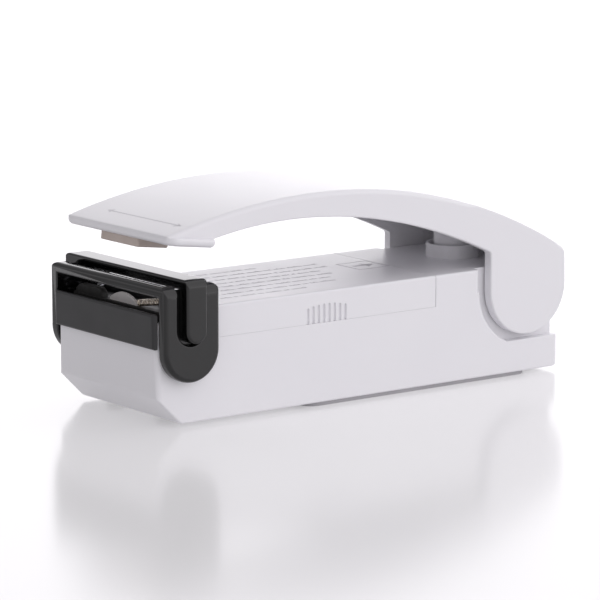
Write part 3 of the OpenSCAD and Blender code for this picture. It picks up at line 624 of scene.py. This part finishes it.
# How far a joined piece reaches into its carrier, and the room round a piece that fits into another
ROOT, FIT = 0.1, 0.05
for y in SADDLES:
    saddle = block("saddle", (-ROOM_HALF - ROOT, y, ROOM_Z - ROOT),
                   (ROOM_HALF + ROOT, y + SADDLE_T, CELL_Z - SADDLE_DROP))
    for x in (-CELL_X, CELL_X):
        room = circle((x, CELL_Z), CELL_D + SADDLE_ROOM)
        combine(saddle, mould("cell_room", "y", room, y - OVER, y + SADDLE_T + OVER))
    join(housing, saddle)
for x, y in HEAD_SCREWS:
    join(housing, post("head_post", x, y, FLOOR_Z + 1, BLOCK_Z, BOSS_D))
for x, y in LID_SCREWS:
    inner, outer = sorted((x, copysign(CORE_HALF - WALL / 2, x)))
    web = block("web", (inner, y - WEB_HALF, ROOM_Z + FIT), (outer, y + WEB_HALF, LID_POST_Z))
    boss = post("lid_post", x, y, ROOM_Z + FIT, LID_POST_Z, BOSS_D)
    join(housing, join(boss, web))
print("with saddles and posts:", len(housing.data.polygons), "faces")

# %% Housing: collar, bores and holes
COLLAR_D, COLLAR_BORE, COLLAR_H = 11.2, 10.0, 2.8
CUP_Y = 85.6
PLUNGER_BORE, AXLE_BORE = 3.0, 3.02
LID_GAP = 0.15
WIRE_HOLE, WIRE_PLACES = 1.8, ((0, CELL_Z + 3.5), (12.6, 3.05))
THREAD_BORE, FREE_BORE = 1.8, 2.3
HEAD_RECESS_D, HEAD_RECESS_Z, LID_BORE_Z = 4.1, 8.2, 7.7
GUIDE_Y, GUIDE_Z, GUIDE_GAP, SLOT_Z = (5.0, 7.3), (14.5, 18.0), 0.15, (9.38, 18.2)
TAB_HALF, TAB_Z = 1.0, (11.5, 12.3)
lid_low, lid_high = span("bottom_lid")
before, behind = BAY[0] - WALL - OVER, BAY[1] + WALL + OVER
collar = post("collar", 0, CUP_Y, DECK_Z - 0.5, DECK_Z + COLLAR_H, COLLAR_D, 0, 0.2)
join(housing, collar)
slot = rectangle(GUIDE_Y[0] - GUIDE_GAP, SLOT_Z[0], GUIDE_Y[1] + GUIDE_GAP, SLOT_Z[1])
tab = rectangle(before, TAB_Z[0], BAY[0] + OVER, TAB_Z[1])
combine(
    housing,
    post("collar_bore", 0, CUP_Y, DECK_Z, DECK_Z + COLLAR_H, COLLAR_BORE, 0, -0.15),
    post("plunger_bore", 0, CUP_Y, DECK_Z - WALL - OVER, DECK_Z + OVER, PLUNGER_BORE),
    mould("axle_bore", "x", circle(PIVOT, AXLE_BORE), -CORE_HALF - OVER, CORE_HALF + OVER),
    block("lid_opening", (lid_low.x - LID_GAP, lid_low.y - LID_GAP, 0),
          (lid_high.x + LID_GAP, lid_high.y + LID_GAP, ROOM_Z + FIT)),
    *[mould("wire_hole", "y", circle(place, WIRE_HOLE), before, behind) for place in WIRE_PLACES],
    *[post("head_screw_hole", x, y, 0, DECK_Z, FREE_BORE) for x, y in HEAD_SCREWS],
    *[post("head_screw_recess", x, y, 0, HEAD_RECESS_Z, HEAD_RECESS_D) for x, y in HEAD_SCREWS],
    *[post("lid_screw_hole", x, y, 0, LID_BORE_Z, THREAD_BORE) for x, y in LID_SCREWS],
    *both_sides("guard_slot", slot, ROOM_HALF - OVER, HALF_W + OVER),
    *both_sides("tab_slot", tab, CELL_X - TAB_HALF, CELL_X + TAB_HALF))
dress(housing, white_abs, "housing", "white_housing", "base_shell")

# %% [markdown]
# ## Battery cover
# The cover is a shallow cap over the cells, flush with the housing all round. Only a fine seam shows.
# Eight grooves on each side give the fingers grip. They run out at the cover's lower edge, and the
# longest stand in the middle. Rounded bars that flare at the surface cut them.

# %% Battery cover
GROOVE_COUNT, GROOVE_PITCH, GROOVE_W, GROOVE_DEPTH = 8, 1.3, 0.6, 0.4
GRIP_Y, GRIP_TALL, GRIP_DROP = 40.15, 3.7, 0.045
SEAM_EDGE = 0.03
RIB_T, RIB_Z, RIB_ROOM, RIB_SIDE = 1.4, CELL_Z + 5, 0.6, 2.2
cover_section = rectangle(-HALF_W, COVER_FOOT, HALF_W, DECK_Z, SEAM_EDGE, BODY_EDGE)
cover = mould("cover_cap", "y", cover_section, cover_low.y, cover_high.y, SEAM_EDGE, SEAM_EDGE)
combine(cover, mould(
    "cover_room", "z", rectangle(-ROOM_HALF, cover_low.y + 1, ROOM_HALF, cover_high.y - 1, 0.6),
    COVER_FOOT - OVER, DECK_Z - WALL, 0, 0.4))
for i in range(GROOVE_COUNT):
    step = i - (GROOVE_COUNT - 1) / 2
    y, top = GRIP_Y + step * GROOVE_PITCH, COVER_FOOT + GRIP_TALL - GRIP_DROP * step * step
    outline = rectangle(y - GROOVE_W / 2, COVER_FOOT - OVER, y + GROOVE_W / 2, top, GROOVE_W / 2 - 0.02)
    combine(cover, *both_sides("groove", outline, HALF_W - GROOVE_DEPTH, HALF_W, 0.12, -0.1, beyond=OVER))
for y in SADDLES:
    rib = block("rib", (-ROOM_HALF - ROOT, y, RIB_Z), (ROOM_HALF + ROOT, y + RIB_T, DECK_Z - WALL + ROOT))
    before, behind = y - OVER, y + RIB_T + OVER
    for x in (-CELL_X, CELL_X):
        combine(rib, mould("cell_room", "y", circle((x, CELL_Z), CELL_D + RIB_ROOM), before, behind))
    side_cut = rectangle(before, 0, behind, COVER_FOOT)
    combine(
        rib,
        block("middle_cut", (-RIB_SIDE, before, 0), (RIB_SIDE, behind, CELL_Z + CELL_D / 2 + 1.5)),
        *both_sides("side_cut", side_cut, HALF_W - RIB_SIDE, HALF_W + RIB_SIDE))
    join(cover, rib)
dress(cover, white_abs, "cover", "white_cover", "battery_cover")

# %% [markdown]
# The cover carries a block of small print and a mark behind it. Neither is copied. In their place stand
# rows of plain ticks, like a page seen from too far away to read, and a framed arrow that points the way
# the cover comes off. The ink stands a fiftieth of a millimetre proud, so that light catches it.

# %% Print on the cover
INK = 0.02
TICK, TICK_GAP, WORD_GAP = 0.26, 0.2, 0.55
TICK_HEIGHTS, LONGEST_WORD = (0.55, 0.6, 0.9), 8
ROW_START, ROW_ENDS = 15.0, (37, 45, 48, 51, 53, 54, 55, 44)
NEAR_ROW_X, ROW_PITCH = 12.3, 3.35
dice = random.Random(5)


def printed(name, outlines, z):
    """Flat ink marks of closed outlines, sunk a little into the surface at height z"""
    return gather(name, [mould("mark", "z", outline, z - INK, z + INK) for outline in outlines])


ticks = []
for row, row_end in enumerate(ROW_ENDS):
    x, y = NEAR_ROW_X - row * ROW_PITCH, ROW_START
    while y < row_end:
        for _ in range(dice.randint(2, LONGEST_WORD)):
            tall = dice.choice(TICK_HEIGHTS)
            ticks.append(rectangle(x - tall, y, x, y + TICK))
            y += TICK + TICK_GAP
        y += WORD_GAP
dress(printed("print_rows", ticks, DECK_Z), grey_ink, "cover", "white_cover")
frame_lines = [rectangle(-5.5, 59.5, 2.5, 59.8), rectangle(-5.5, 66.8, 2.5, 67.1),
               rectangle(-5.5, 59.8, -5.2, 66.8), rectangle(2.2, 59.8, 2.5, 66.8)]
arrow = [(-2.0, 61), (-1.0, 61), (-1.0, 63.6), (0.3, 63.6), (-1.5, 65.8), (-3.3, 63.6), (-2.0, 63.6)]
dress(printed("cover_mark", [*frame_lines, arrow], DECK_Z), grey_ink, "cover", "white_cover")

# %% [markdown]
# ## Press handle
# The handle is one long arched shell, open below, that ends in two round ears on the hinge. Its top
# wall and side walls are thin, and the edge between them is well rounded. It is drawn as the solid side
# outline with rounded edges, and then hollowed by a cutter that follows the arch one wall lower.

# %% Handle: arm and ears
ARM_HALF, EAR_IN, EAR_R, SHELL_T = 17.4, 15.4, 9.9, 1.9
ARCH = [(2.2, 36.9), (33.1, 45.8), (68.4, 44.4), (100.0, 25.7)]
SKIRT = [(13.3, 35.6), (37.1, 40.6), (61.7, 35.4), (81.7, 25.9)]
ARCH_STEPS = 48
NOSE_Y, NOSE_END, NOSE_LIP = 2.2, 13.0, 0.8
ARM_SET, FRONT_TOP, FRONT_LOW, NOSE_HEEL_Z = 0.25, 36.95, 36.0, 34.7
REAR_TOP, REAR_TOP_R = 25.05, 1.9
NECK_Z, NECK_R = 26.09, 0.8
FINE_EDGE, ARCH_EDGE, EDGE_Z = 0.35, 1.0, (22, 28)
arch = bezier(ARCH, ARCH_STEPS)
skirt = bezier(SKIRT, ARCH_STEPS)
arm_front = NOSE_Y + ARM_SET
arm_corners = [(arm_front, FRONT_TOP, 0.45), *[p for p in arch if p[0] > arm_front + 0.9]]
arm_corners += [(handle_high.y, REAR_TOP, REAR_TOP_R), *arc(PIVOT, EAR_R, 0, -180)]
arm_corners += [(PIVOT.x - EAR_R, NECK_Z, NECK_R)]
arm_corners += [p for p in reversed(skirt) if p[0] < PIVOT.x - EAR_R - 1.2]
arm_corners += [(NOSE_END, NOSE_HEEL_Z), (arm_front, FRONT_LOW)]
arm_outline = rounded(arm_corners)


def arm_edge(y, z):
    """The arch's edge is round, and fades down the rear to the fine edge of the ears and the skirt"""
    share = min(1, max(0, (z - EDGE_Z[0]) / (EDGE_Z[1] - EDGE_Z[0])))
    on_arch = y > REAR_Y - 1 or z > (ARCH[0][1] + SKIRT[0][1]) / 2
    on_skirt = any(abs(p[0] - y) < 2 and abs(p[1] - z) < 1 for p in skirt)
    return FINE_EDGE + (ARCH_EDGE - FINE_EDGE) * share if on_arch and not on_skirt else FINE_EDGE


handle = mould("handle_arch", "x", arm_outline, -ARM_HALF, ARM_HALF, arm_edge, arm_edge)
arm_plan = rectangle(-ARM_HALF, arm_front, ARM_HALF, handle_high.y + 2 * OVER, CORNER_R, 0)
combine(handle, mould("arm_plan", "z", arm_plan, -OVER, handle_high.z + OVER), how="INTERSECT")
rear_wall = handle_high.y - SHELL_T
roof = [(y, z - SHELL_T) for y, z in arch if NOSE_END < y < rear_wall]
hollow = [(NOSE_END, 0), (NOSE_END, roof[0][1]), *roof, (rear_wall, roof[-1][1] - 0.6), (rear_wall, 0)]
combine(
    handle,
    mould("hollow", "x", hollow, -EAR_IN, EAR_IN, 0.5, 0.5),
    block("rear_opening", (-EAR_IN, PIVOT.x, 0), (EAR_IN, handle_high.y + OVER, PIVOT.y - 1)))
print("arm:", len(handle.data.polygons), "faces")

# %% [markdown]
# The flat nose plate that holds the pad is a little wider than the arm and slopes down to the rear. A
# round cup under the roof takes the return spring, and a pin inside it pushes the switch.

# %% Handle: nose plate, cup and pin
NOSE_HALF = ARM_HALF + NOSE_LIP
NOSE_UNDER, NOSE_T, NOSE_TILT = 35.3, 1.6, 7.4
NOSE_R, NOSE_HEEL_R = 2.6, 0.9
CUP_D, CUP_BORE, CUP_Z, CUP_SEAT = 8.0, 6.4, 24.4, 29.5
PIN_D, PIN_Z = 2.6, 24.6
EAR_BORE, EAR_BORE_DEPTH = 3.06, 1.5


def on_nose(piece):
    """Moves a piece drawn flat, from the front edge backwards, onto the slope of the nose's underside"""
    slope = Matrix.Rotation(radians(-NOSE_TILT), 4, "X")
    piece.data.transform(Matrix.Translation((0, NOSE_Y, NOSE_UNDER)) @ slope)
    return piece


nose_length = (NOSE_END - NOSE_Y) / cos(radians(NOSE_TILT))
nose_outline = rectangle(-NOSE_HALF, 0, NOSE_HALF, nose_length, NOSE_R, NOSE_HEEL_R)
nose = on_nose(mould("nose", "z", nose_outline, 0, NOSE_T - 0.02, 1.0, 0.4))
cup = post("cup", 0, CUP_Y, CUP_Z, CUP_Z + 12, CUP_D, 0.2)
cup_roof = [(y, z - SHELL_T / 2) for y, z in arch if y > 60]
trim = [(60, 0), *cup_roof, (cup_roof[-1][0], 0)]
combine(cup, mould("trim", "x", trim[::-1], -ARM_HALF, ARM_HALF), how="INTERSECT")
combine(cup, post("cup_bore", 0, CUP_Y, CUP_Z, CUP_SEAT, CUP_BORE, -0.15))
combine(cup, post("cup_mouth", 0, CUP_Y, CUP_Z - OVER, CUP_Z + FIT, CUP_BORE + 0.3))
join(cup, post("pin", 0, CUP_Y, PIN_Z, CUP_SEAT + 0.5, PIN_D, 0.25))
join(handle, nose, cup)
combine(handle, *both_sides("axle_bore", circle(PIVOT, EAR_BORE), EAR_IN - OVER, EAR_IN + EAR_BORE_DEPTH))
dress(handle, white_abs, "handle", "white_handle", "press_handle")

# %% Handle: pad and line on the nose
PAD_HALF, PAD_INSET, PAD_LEN, PAD_T = 6.35, 0.9, 7.4, 1.6
pad_outline = rectangle(-PAD_HALF, PAD_INSET, PAD_HALF, PAD_INSET + PAD_LEN, 0.6)
pad = on_nose(mould("silicone_pad", "z", pad_outline, -PAD_T, 0, 0.3, 0))
dress(pad, silicone, "handle", "tan_pad", "press_pad")
LINE_X, LINE_W, LINE_Y = (-10.2, 14.6), 0.28, 7.4
WING, NOTCH, WING_HALF, BARB_HALF = 1.7, 0.75, 0.75, 0.42
row = [p for p in arch if p[0] > LINE_Y][:2]
slope = atan2(row[1][1] - row[0][1], row[1][0] - row[0][0])
line_z = row[0][1] + (LINE_Y - row[0][0]) * tan(slope)
marks = [rectangle(LINE_X[0] + 0.4, -LINE_W / 2, LINE_X[1] - 0.4, LINE_W / 2)]
for tip_x, way in ((LINE_X[0], 1), (LINE_X[1], -1)):
    wing, notch = tip_x + way * WING, tip_x + way * NOTCH
    marks.append([(tip_x, 0), (wing, WING_HALF), (wing, BARB_HALF), (notch, 0),
                  (wing, -BARB_HALF), (wing, -WING_HALF)])
line = printed("seal_line", marks, 0)
line.data.transform(Matrix.Translation((0, LINE_Y, line_z)) @ Matrix.Rotation(slope, 4, "X"))
dress(line, grey_ink, "handle", "white_handle")

# %% [markdown]
# ## Black head
# The head's base closes the front of the housing with a flat panel, and carries the strip behind it.
# It is moulded in satin black, so it looks an even dark grey, with a line of light along each edge.

# %% Head base
PANEL_HALF, PANEL_Y, PANEL_BACK, PANEL_TOP, PANEL_EDGE = 17.3, -0.8, 0.0, 22.4, 0.5
BLOCK_HALF, BLOCK_REAR, RISE_DROP, SEAT_DEPTH = 15.3, 11.5, 1.1, 3.3
HEAT_Y, STRIP_LEN = 3.33, 1.6
GUARD_SPRINGS, POCKET_Z, POCKET_D = [(x, 6.65) for x in (-13.2, 13.2)], 15.5, 4.0
panel_low, strip_front, seat_z = PANEL_FOOT + FIT, HEAT_Y - STRIP_LEN / 2, DECK_Z - SEAT_DEPTH
panel_outline = rectangle(-PANEL_HALF, panel_low, PANEL_HALF, PANEL_TOP, PANEL_EDGE)
panel = mould("head_panel", "y", panel_outline, PANEL_Y, PANEL_BACK, PANEL_EDGE, 0)
panel_plan = rectangle(-PANEL_HALF, PANEL_Y, PANEL_HALF, BLOCK_REAR, CORNER_R, 0)
combine(panel, mould("panel_plan", "z", panel_plan, 0, DECK_Z), how="INTERSECT")
lip = rounded([(SINK_END - FIT, SINK_Z - ROOT), (BLOCK_REAR, SINK_Z - ROOT), (BLOCK_REAR, DECK_Z, 0.2),
               (SINK_END - FIT, DECK_Z, 0.2)])
join(
    panel,
    block("core", (-BLOCK_HALF, PANEL_BACK - ROOT, panel_low), (BLOCK_HALF, BLOCK_REAR, SINK_Z - FIT)),
    block("foot", (-BLOCK_HALF, WALL + PANEL_GAP, BLOCK_Z), (BLOCK_HALF, BLOCK_REAR, PANEL_FOOT + 2 * ROOT)),
    block("rise", (-BLOCK_HALF, strip_front - FIT, SINK_Z - ROOT),
          (BLOCK_HALF, SINK_END, DECK_Z - RISE_DROP)),
    mould("lip", "x", lip, -BLOCK_HALF, BLOCK_HALF))
combine(panel, block("strip_seat", (-BLOCK_HALF - OVER, strip_front - FIT, seat_z),
                     (BLOCK_HALF + OVER, strip_front + STRIP_LEN + FIT, DECK_Z + OVER)))
combine(
    panel,
    *[post("spring_pocket", x, y, POCKET_Z, DECK_Z + OVER, POCKET_D) for x, y in GUARD_SPRINGS],
    *[post("screw_hole", x, y, BLOCK_Z - OVER, BLOCK_Z + 5.5, THREAD_BORE) for x, y in HEAD_SCREWS])
dress(panel, black_abs, "housing", "black_head", "heater_base")

# %% Insulating strip and blade
STRIP_HALF, STRIP_TOP, STRIP_EDGE = BLOCK_HALF - 0.1, DECK_Z - 0.6, 0.15
SHIELD_X, SHIELD_Z, SHIELD_T = (-14.9, -5.2), (20.0, DECK_Z + 1.2), 1.4
SHIELD_R = (2.6, 1.8)
strip_section = rectangle(-STRIP_HALF, seat_z + 0.02, STRIP_HALF, STRIP_TOP, 0, 0.25)
strip = mould("mica_strip", "y", strip_section, strip_front, strip_front + STRIP_LEN, STRIP_EDGE, STRIP_EDGE)
shield_section = rounded([
    (SHIELD_X[0], SHIELD_Z[0]), (SHIELD_X[1], SHIELD_Z[0]),
    (SHIELD_X[1], SHIELD_Z[1], SHIELD_R[1]), (SHIELD_X[0], SHIELD_Z[1], SHIELD_R[0])])
shield = mould("shield", "y", shield_section, HEAT_Y - SHIELD_T / 2, HEAT_Y + SHIELD_T / 2, 0.2, 0.2)
join(strip, shield)
BLADE_X, BLADE_W, BLADE_T, BLADE_R = 1.3, 9.2, 0.6, 7.5
BLADE_Z, BLADE_TOP = 20.7, 24.15
combine(strip, block(
    "blade_slot", (BLADE_X - BLADE_W / 2 - FIT, HEAT_Y - BLADE_T / 2 - 0.02, BLADE_Z - FIT),
    (BLADE_X + BLADE_W / 2 + FIT, HEAT_Y + BLADE_T / 2 + 0.02, SHIELD_Z[1] + OVER)))
dress(strip, mica, "housing", "insulating_strip", "heater_block")
half_turn = degrees(asin(BLADE_W / 2 / BLADE_R))
blade_arc = arc((BLADE_X, BLADE_TOP - BLADE_R), BLADE_R, 90 - half_turn, 90 + half_turn)
blade_outline = [(BLADE_X - BLADE_W / 2, BLADE_Z), (BLADE_X + BLADE_W / 2, BLADE_Z), *blade_arc]
blade = mould("ceramic_blade", "y", blade_outline, HEAT_Y - BLADE_T / 2, HEAT_Y + BLADE_T / 2, 0.12, 0.12)
dress(blade, ceramic, "housing", "heater_plate", "heater_blade")

# %% [markdown]
# Wires are swept: a round section follows a path. A coil's path climbs in a helix, with 24 points to
# the turn, so that even the fine heater wire looks round.

# %% Heater coil
COIL_STEPS = 24
WIRE_SIDES = 12


def wire(name, path, diameter):
    """A round wire along points, with flat ends"""
    points = [Vector(p) for p in path]
    tangents = [(b - a).normalized() for a, b in zip(points[:1] + points[:-1], points[1:] + points[-1:])]
    side = tangents[0].orthogonal().normalized()
    rings = []
    for p, way in zip(points, tangents):
        side = (side - way * side.dot(way)).normalized()
        other = way.cross(side)
        turns = [2 * pi * k / WIRE_SIDES for k in range(WIRE_SIDES)]
        rings.append([p + (side * cos(t) + other * sin(t)) * diameter / 2 for t in turns])
    return from_rings(name, rings)


COIL_WIRE, COIL_D, COIL_POINTS = 0.34, 1.4, 9 * COIL_STEPS
COIL_RUN, COIL_RISE, COIL_LEGS = 7.6, 1.3, (-1.6, -0.9)
coil_start = Vector((BLADE_X + BLADE_W / 2 + 0.5, HEAT_Y, DECK_Z + FIT))
coil_end = coil_start + Vector((COIL_RUN, 0, COIL_RISE))
coil_r = (COIL_D - COIL_WIRE) / 2
axis = (coil_end - coil_start).normalized()
coil_up = Vector((0, 1, 0)).cross(axis).normalized()
coil_path = [coil_start + Vector((0, 0, z)) for z in COIL_LEGS]
for i in range(COIL_POINTS + 1):
    t = 2 * pi * i / COIL_STEPS
    middle = coil_start.lerp(coil_end, i / COIL_POINTS)
    coil_path.append(middle - coil_up * coil_r * cos(t) - Vector((0, coil_r, 0)) * sin(t))
coil_path += [coil_end + Vector((0, 0, z - COIL_RISE)) for z in reversed(COIL_LEGS)]
coil = wire("heater_spiral", coil_path, COIL_WIRE)
dress(coil, nichrome, "housing", "heater_wire", "heater_coil")

# %% [markdown]
# ## Guard
# The guard keeps fingers off the hot blade and sinks when the pad presses on it. It is made of two
# mouldings that slide into each other: a bail with a front bar and a U-shaped plate at each end, and a
# strap whose two lobes sit in those U's. Both are deep black and polished, with generous corner radii.

# %% Guard bail
PLATE_IN, PLATE_OUT = 17.4, 19.8
PLATE_Y, PLATE_LEN, PLATE_Z = 0.1, 12.6, 9.0
PLATE_REAR_R, PLATE_FRONT_R = 1.6, 0.8
BAR_LEN, BAR_H, BAR_TOP, BAR_HALF, BAR_EDGE = 2.0, 2.0, 27.7, 18.5, 0.3
CHANNEL = (2.9, 9.4)
CHANNEL_Z, CHANNEL_FLOOR = 16.2, 18.35
STRAP_TOP, STRAP_T = 28.9, 2.0
BAR_CORNER_R, STRAP_CORNER_R = 2.4, 1.7
GUIDE_IN = 15.8
HIGH = 40
plate_r = PLATE_LEN / 2
plate_outline = rounded([(PLATE_Y + PLATE_LEN, BAR_TOP, PLATE_REAR_R), (PLATE_Y, BAR_TOP, PLATE_FRONT_R),
                         *arc((PLATE_Y + plate_r, PLATE_Z + plate_r), plate_r, 180, 360)])
channel_r = (CHANNEL[1] - CHANNEL[0]) / 2
channel_outline = arc((CHANNEL[0] + channel_r, CHANNEL_Z + channel_r), channel_r, 180, 360)
channel_outline += [(CHANNEL[1], HIGH), (CHANNEL[0], HIGH)]


def guard_top(name, half, top, radius):
    """The front view that rounds the guard's upper corners"""
    view = rectangle(-half, 0, half, top, 0, radius)
    return mould(name, "y", view, PLATE_Y - OVER, PLATE_Y + PLATE_LEN + OVER)


bar_low, bar_back = BAR_TOP - BAR_H, PLATE_Y + BAR_LEN
bar_outline = rounded([(PLATE_Y, bar_low, BAR_EDGE), (bar_back, bar_low, BAR_EDGE),
                       (bar_back, BAR_TOP, BAR_EDGE), (PLATE_Y, BAR_TOP, PLATE_FRONT_R)])
over_strap = rectangle(CHANNEL[0], STRAP_TOP - STRAP_T - FIT, CHANNEL[1], HIGH)
guide = rectangle(GUIDE_Y[0], GUIDE_Z[0], GUIDE_Y[1], GUIDE_Z[1], 0.3)
bail = mould("guard_frame", "x", bar_outline, -BAR_HALF, BAR_HALF)
join(bail, *both_sides("plate", plate_outline, PLATE_IN, PLATE_OUT, 0.3, 0.9))
combine(bail, *both_sides("channel", channel_outline, CHANNEL_FLOOR, PLATE_OUT, 0.2, -0.35, beyond=OVER))
combine(bail, *both_sides("strap_room", over_strap, PLATE_IN - OVER, PLATE_OUT + OVER))
combine(bail, guard_top("bail_view", PLATE_OUT, BAR_TOP, BAR_CORNER_R), how="INTERSECT")
join(bail, *both_sides("guide", guide, GUIDE_IN, PLATE_IN + 0.3, 0.2, 0))
dress(bail, guard_black, "guard", "black_guard", "guard_bail")

# %% Guard strap
LOBE_IN, LOBE_OUT, LOBE_Z = 18.4, 21.0, 16.6
STRAP_Y, STRAP_LEN, STRAP_HALF, STRAP_EDGE = 4.3, 4.7, 19.0, 0.4
strap_back, strap_low = STRAP_Y + STRAP_LEN, STRAP_TOP - STRAP_T
lobe_r = STRAP_LEN / 2
lobe_outline = rounded([(strap_back, STRAP_TOP, STRAP_EDGE), (STRAP_Y, STRAP_TOP, STRAP_EDGE),
                        *arc((STRAP_Y + lobe_r, LOBE_Z + lobe_r), lobe_r, 180, 360)])
strap_outline = rectangle(STRAP_Y, strap_low, strap_back, STRAP_TOP, STRAP_EDGE)
strap = mould("guard_bridge", "x", strap_outline, -STRAP_HALF, STRAP_HALF)
join(strap, *both_sides("lobe", lobe_outline, LOBE_IN, LOBE_OUT, 0.1, 0.6))
combine(strap, guard_top("strap_view", LOBE_OUT, STRAP_TOP, STRAP_CORNER_R), how="INTERSECT")
dress(strap, guard_black, "guard", "black_guard", "guard_strap")

# %% [markdown]
# ## Springs
# Compression springs are wound with their end turns lying flat, so that they press evenly. Each is
# drawn at one fixed length, and does not shorten when the handle goes down.

# %% Springs
FLAT_TURNS = 0.8
# Outside diameter, wire and turns
RETURN_COIL, GUARD_COIL = (5.8, 0.7, 5), (3.5, 0.4, 9)


def spring(name, places, low, high, outside, wire_d, turns):
    """Upright springs with flat end turns, one at each place, as one piece"""
    count, radius = turns * COIL_STEPS, (outside - wire_d) / 2
    foot, rise = low + wire_d / 2, high - low - wire_d
    flat = FLAT_TURNS / turns
    slow = wire_d * 1.05 * FLAT_TURNS / rise
    coils = []
    for x, y in places:
        path = []
        for i in range(count + 1):
            t = i / count
            if t < flat:
                share = slow * t / flat
            elif t > 1 - flat:
                share = 1 - slow * (1 - t) / flat
            else:
                share = slow + (1 - 2 * slow) * (t - flat) / (1 - 2 * flat)
            a = 2 * pi * i / COIL_STEPS
            path.append((x + radius * cos(a), y + radius * sin(a), foot + rise * share))
        coils.append(wire(name, path, wire_d))
    return gather(name, coils)


return_coil = spring("return_coil", [(0, CUP_Y)], DECK_Z + FIT, CUP_SEAT - FIT, *RETURN_COIL)
dress(return_coil, spring_steel, None, "spring_wire", "return_spring")
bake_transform(return_coil)
guard_coils = spring("guard_coils", GUARD_SPRINGS, POCKET_Z + FIT, strap_low - FIT, *GUARD_COIL)
dress(guard_coils, spring_steel, "housing", "spring_wire", "guard_springs")
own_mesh(guard_coils)

# %% [markdown]
# ## Underside
# A flexible magnet sheet covers most of the underside, and the sealer rests on it. Behind the bay, a
# small lid with four screws closes the room of the switch. Two more screws, deep in the floor, hold
# the head.

# %% Magnet sheet and lid
SHEET_R, LID_R = 3.0, 0.4
LID_RECESS_D, LID_RECESS_H = 4.0, 1.2
sheet_low, sheet_high = span("magnet_sheet")
sheet_outline = rectangle(sheet_low.x, sheet_low.y, sheet_high.x, sheet_high.y, SHEET_R)
sheet = mould("magnet_pad", "z", sheet_outline, sheet_low.z, sheet_high.z, 0.1, 0)
dress(sheet, magnet, "housing", "magnet_rubber", "magnet_sheet")
lid_outline = rectangle(lid_low.x, lid_low.y, lid_high.x, lid_high.y, LID_R)
lid = mould("switch_lid", "z", lid_outline, lid_low.z, lid_high.z, 0.15, 0)
for x, y in LID_SCREWS:
    combine(lid, post("hole", x, y, 0, lid_high.z + OVER, FREE_BORE),
            post("recess", x, y, 0, FLOOR_Z + LID_RECESS_H, LID_RECESS_D))
dress(lid, white_abs, "housing", "white_housing", "bottom_lid")

# %% Screws
SCREW_HEAD_D, SCREW_HEAD_H, SCREW_D = 3.6, 1.1, 1.78
CROSS_W, CROSS_L, CROSS_DEPTH = 0.5, 2.2, 0.7
HEAD_SCREW_Z, HEAD_SCREW_L, LID_SCREW_L = 7.0, 10, 6


def screws(name, places, z, length):
    """Pan-head screws with a cross recess, heads down, as one piece"""
    made = []
    for x, y in places:
        one = post(name, x, y, z, z + SCREW_HEAD_H, SCREW_HEAD_D, 0.4, 0.1)
        join(one, post("shank", x, y, z + 0.2, z + length, SCREW_D, 0, 0.3))
        for w, l in ((CROSS_W, CROSS_L), (CROSS_L, CROSS_W)):
            low, high = (x - w / 2, y - l / 2, z - OVER), (x + w / 2, y + l / 2, z + CROSS_DEPTH)
            combine(one, block("cross", low, high))
        made.append(one)
    return gather(name, made)


head_screws = screws("head_screw_pair", HEAD_SCREWS, HEAD_SCREW_Z, HEAD_SCREW_L)
dress(head_screws, zinc, "housing", "screw_steel", "heater_screws")
lid_screws = screws("lid_screw_set", LID_SCREWS, FLOOR_Z + 0.08, LID_SCREW_L)
dress(lid_screws, zinc, "housing", "screw_steel", "lid_screws")

# %% [markdown]
# ## Inside
# The cells, contacts, wires and switch stay as packed, because their shapes are right and the housing
# hides them. Each still takes the finish of its real material. A cell wears a printed film round its
# can, with bare nickel at both ends, so its material looks at the distance from the cell's middle line.

# %% Cell film
FILM_T = 0.4
film, tree = new_material("cell_film_shrunk", "#406B94")
place = add(tree, "TexCoord").outputs["Object"]
parts = add(tree, "SeparateXYZ", {"Vector": place})
beside = add(tree, "Math", {0: parts.outputs["X"]}, operation="ABSOLUTE")
off_x = add(tree, "Math", {0: beside, 1: CELL_X * MM}, operation="SUBTRACT")
off_z = add(tree, "Math", {0: parts.outputs["Z"], 1: CELL_Z * MM}, operation="SUBTRACT")
both = add(tree, "CombineXYZ", {"X": off_x, "Y": off_z})
away = add(tree, "VectorMath", {0: both}, operation="LENGTH")
wrapped = add(tree, "Math", {0: away, 1: (CELL_D / 2 - FILM_T) * MM}, operation="GREATER_THAN")
grime = add(tree, "TexNoise", {"Vector": place, "Scale": 1 / (3 * MM), "Detail": 3.0})
tone = add(tree, "Mix", {"Factor": grime, 6: paint("#3F6D99"), 7: paint("#376190")}, data_type="RGBA")
coat = add(tree, "Mix", {"Factor": wrapped, 6: paint("#C2BFB6"), 7: tone}, data_type="RGBA")
bare = add(tree, "Math", {0: 1.0, 1: wrapped}, operation="SUBTRACT")
surface(tree, {"Base Color": coat, "Metallic": bare, "Roughness": 0.3})
print("film:", film.name)

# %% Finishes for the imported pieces
FINISH = {
    "hinge_axle": ground_steel, "switch_plunger": ivory, "switch_leaf": brass, "switch_contact": brass,
    "switch_block": phenolic, "cell_left": film, "cell_right": film, "battery_springs": nickel,
    "battery_terminals": nickel, "battery_bridge": nickel, "lead_heater": black_pvc, "lead_battery": red_pvc,
    "lead_switch": black_pvc,
}
for node, material in FINISH.items():
    mesh = frame["nodes"][node].data
    mesh.materials.clear()
    mesh.materials.append(material)
print("finished", len(FINISH), "packed pieces")
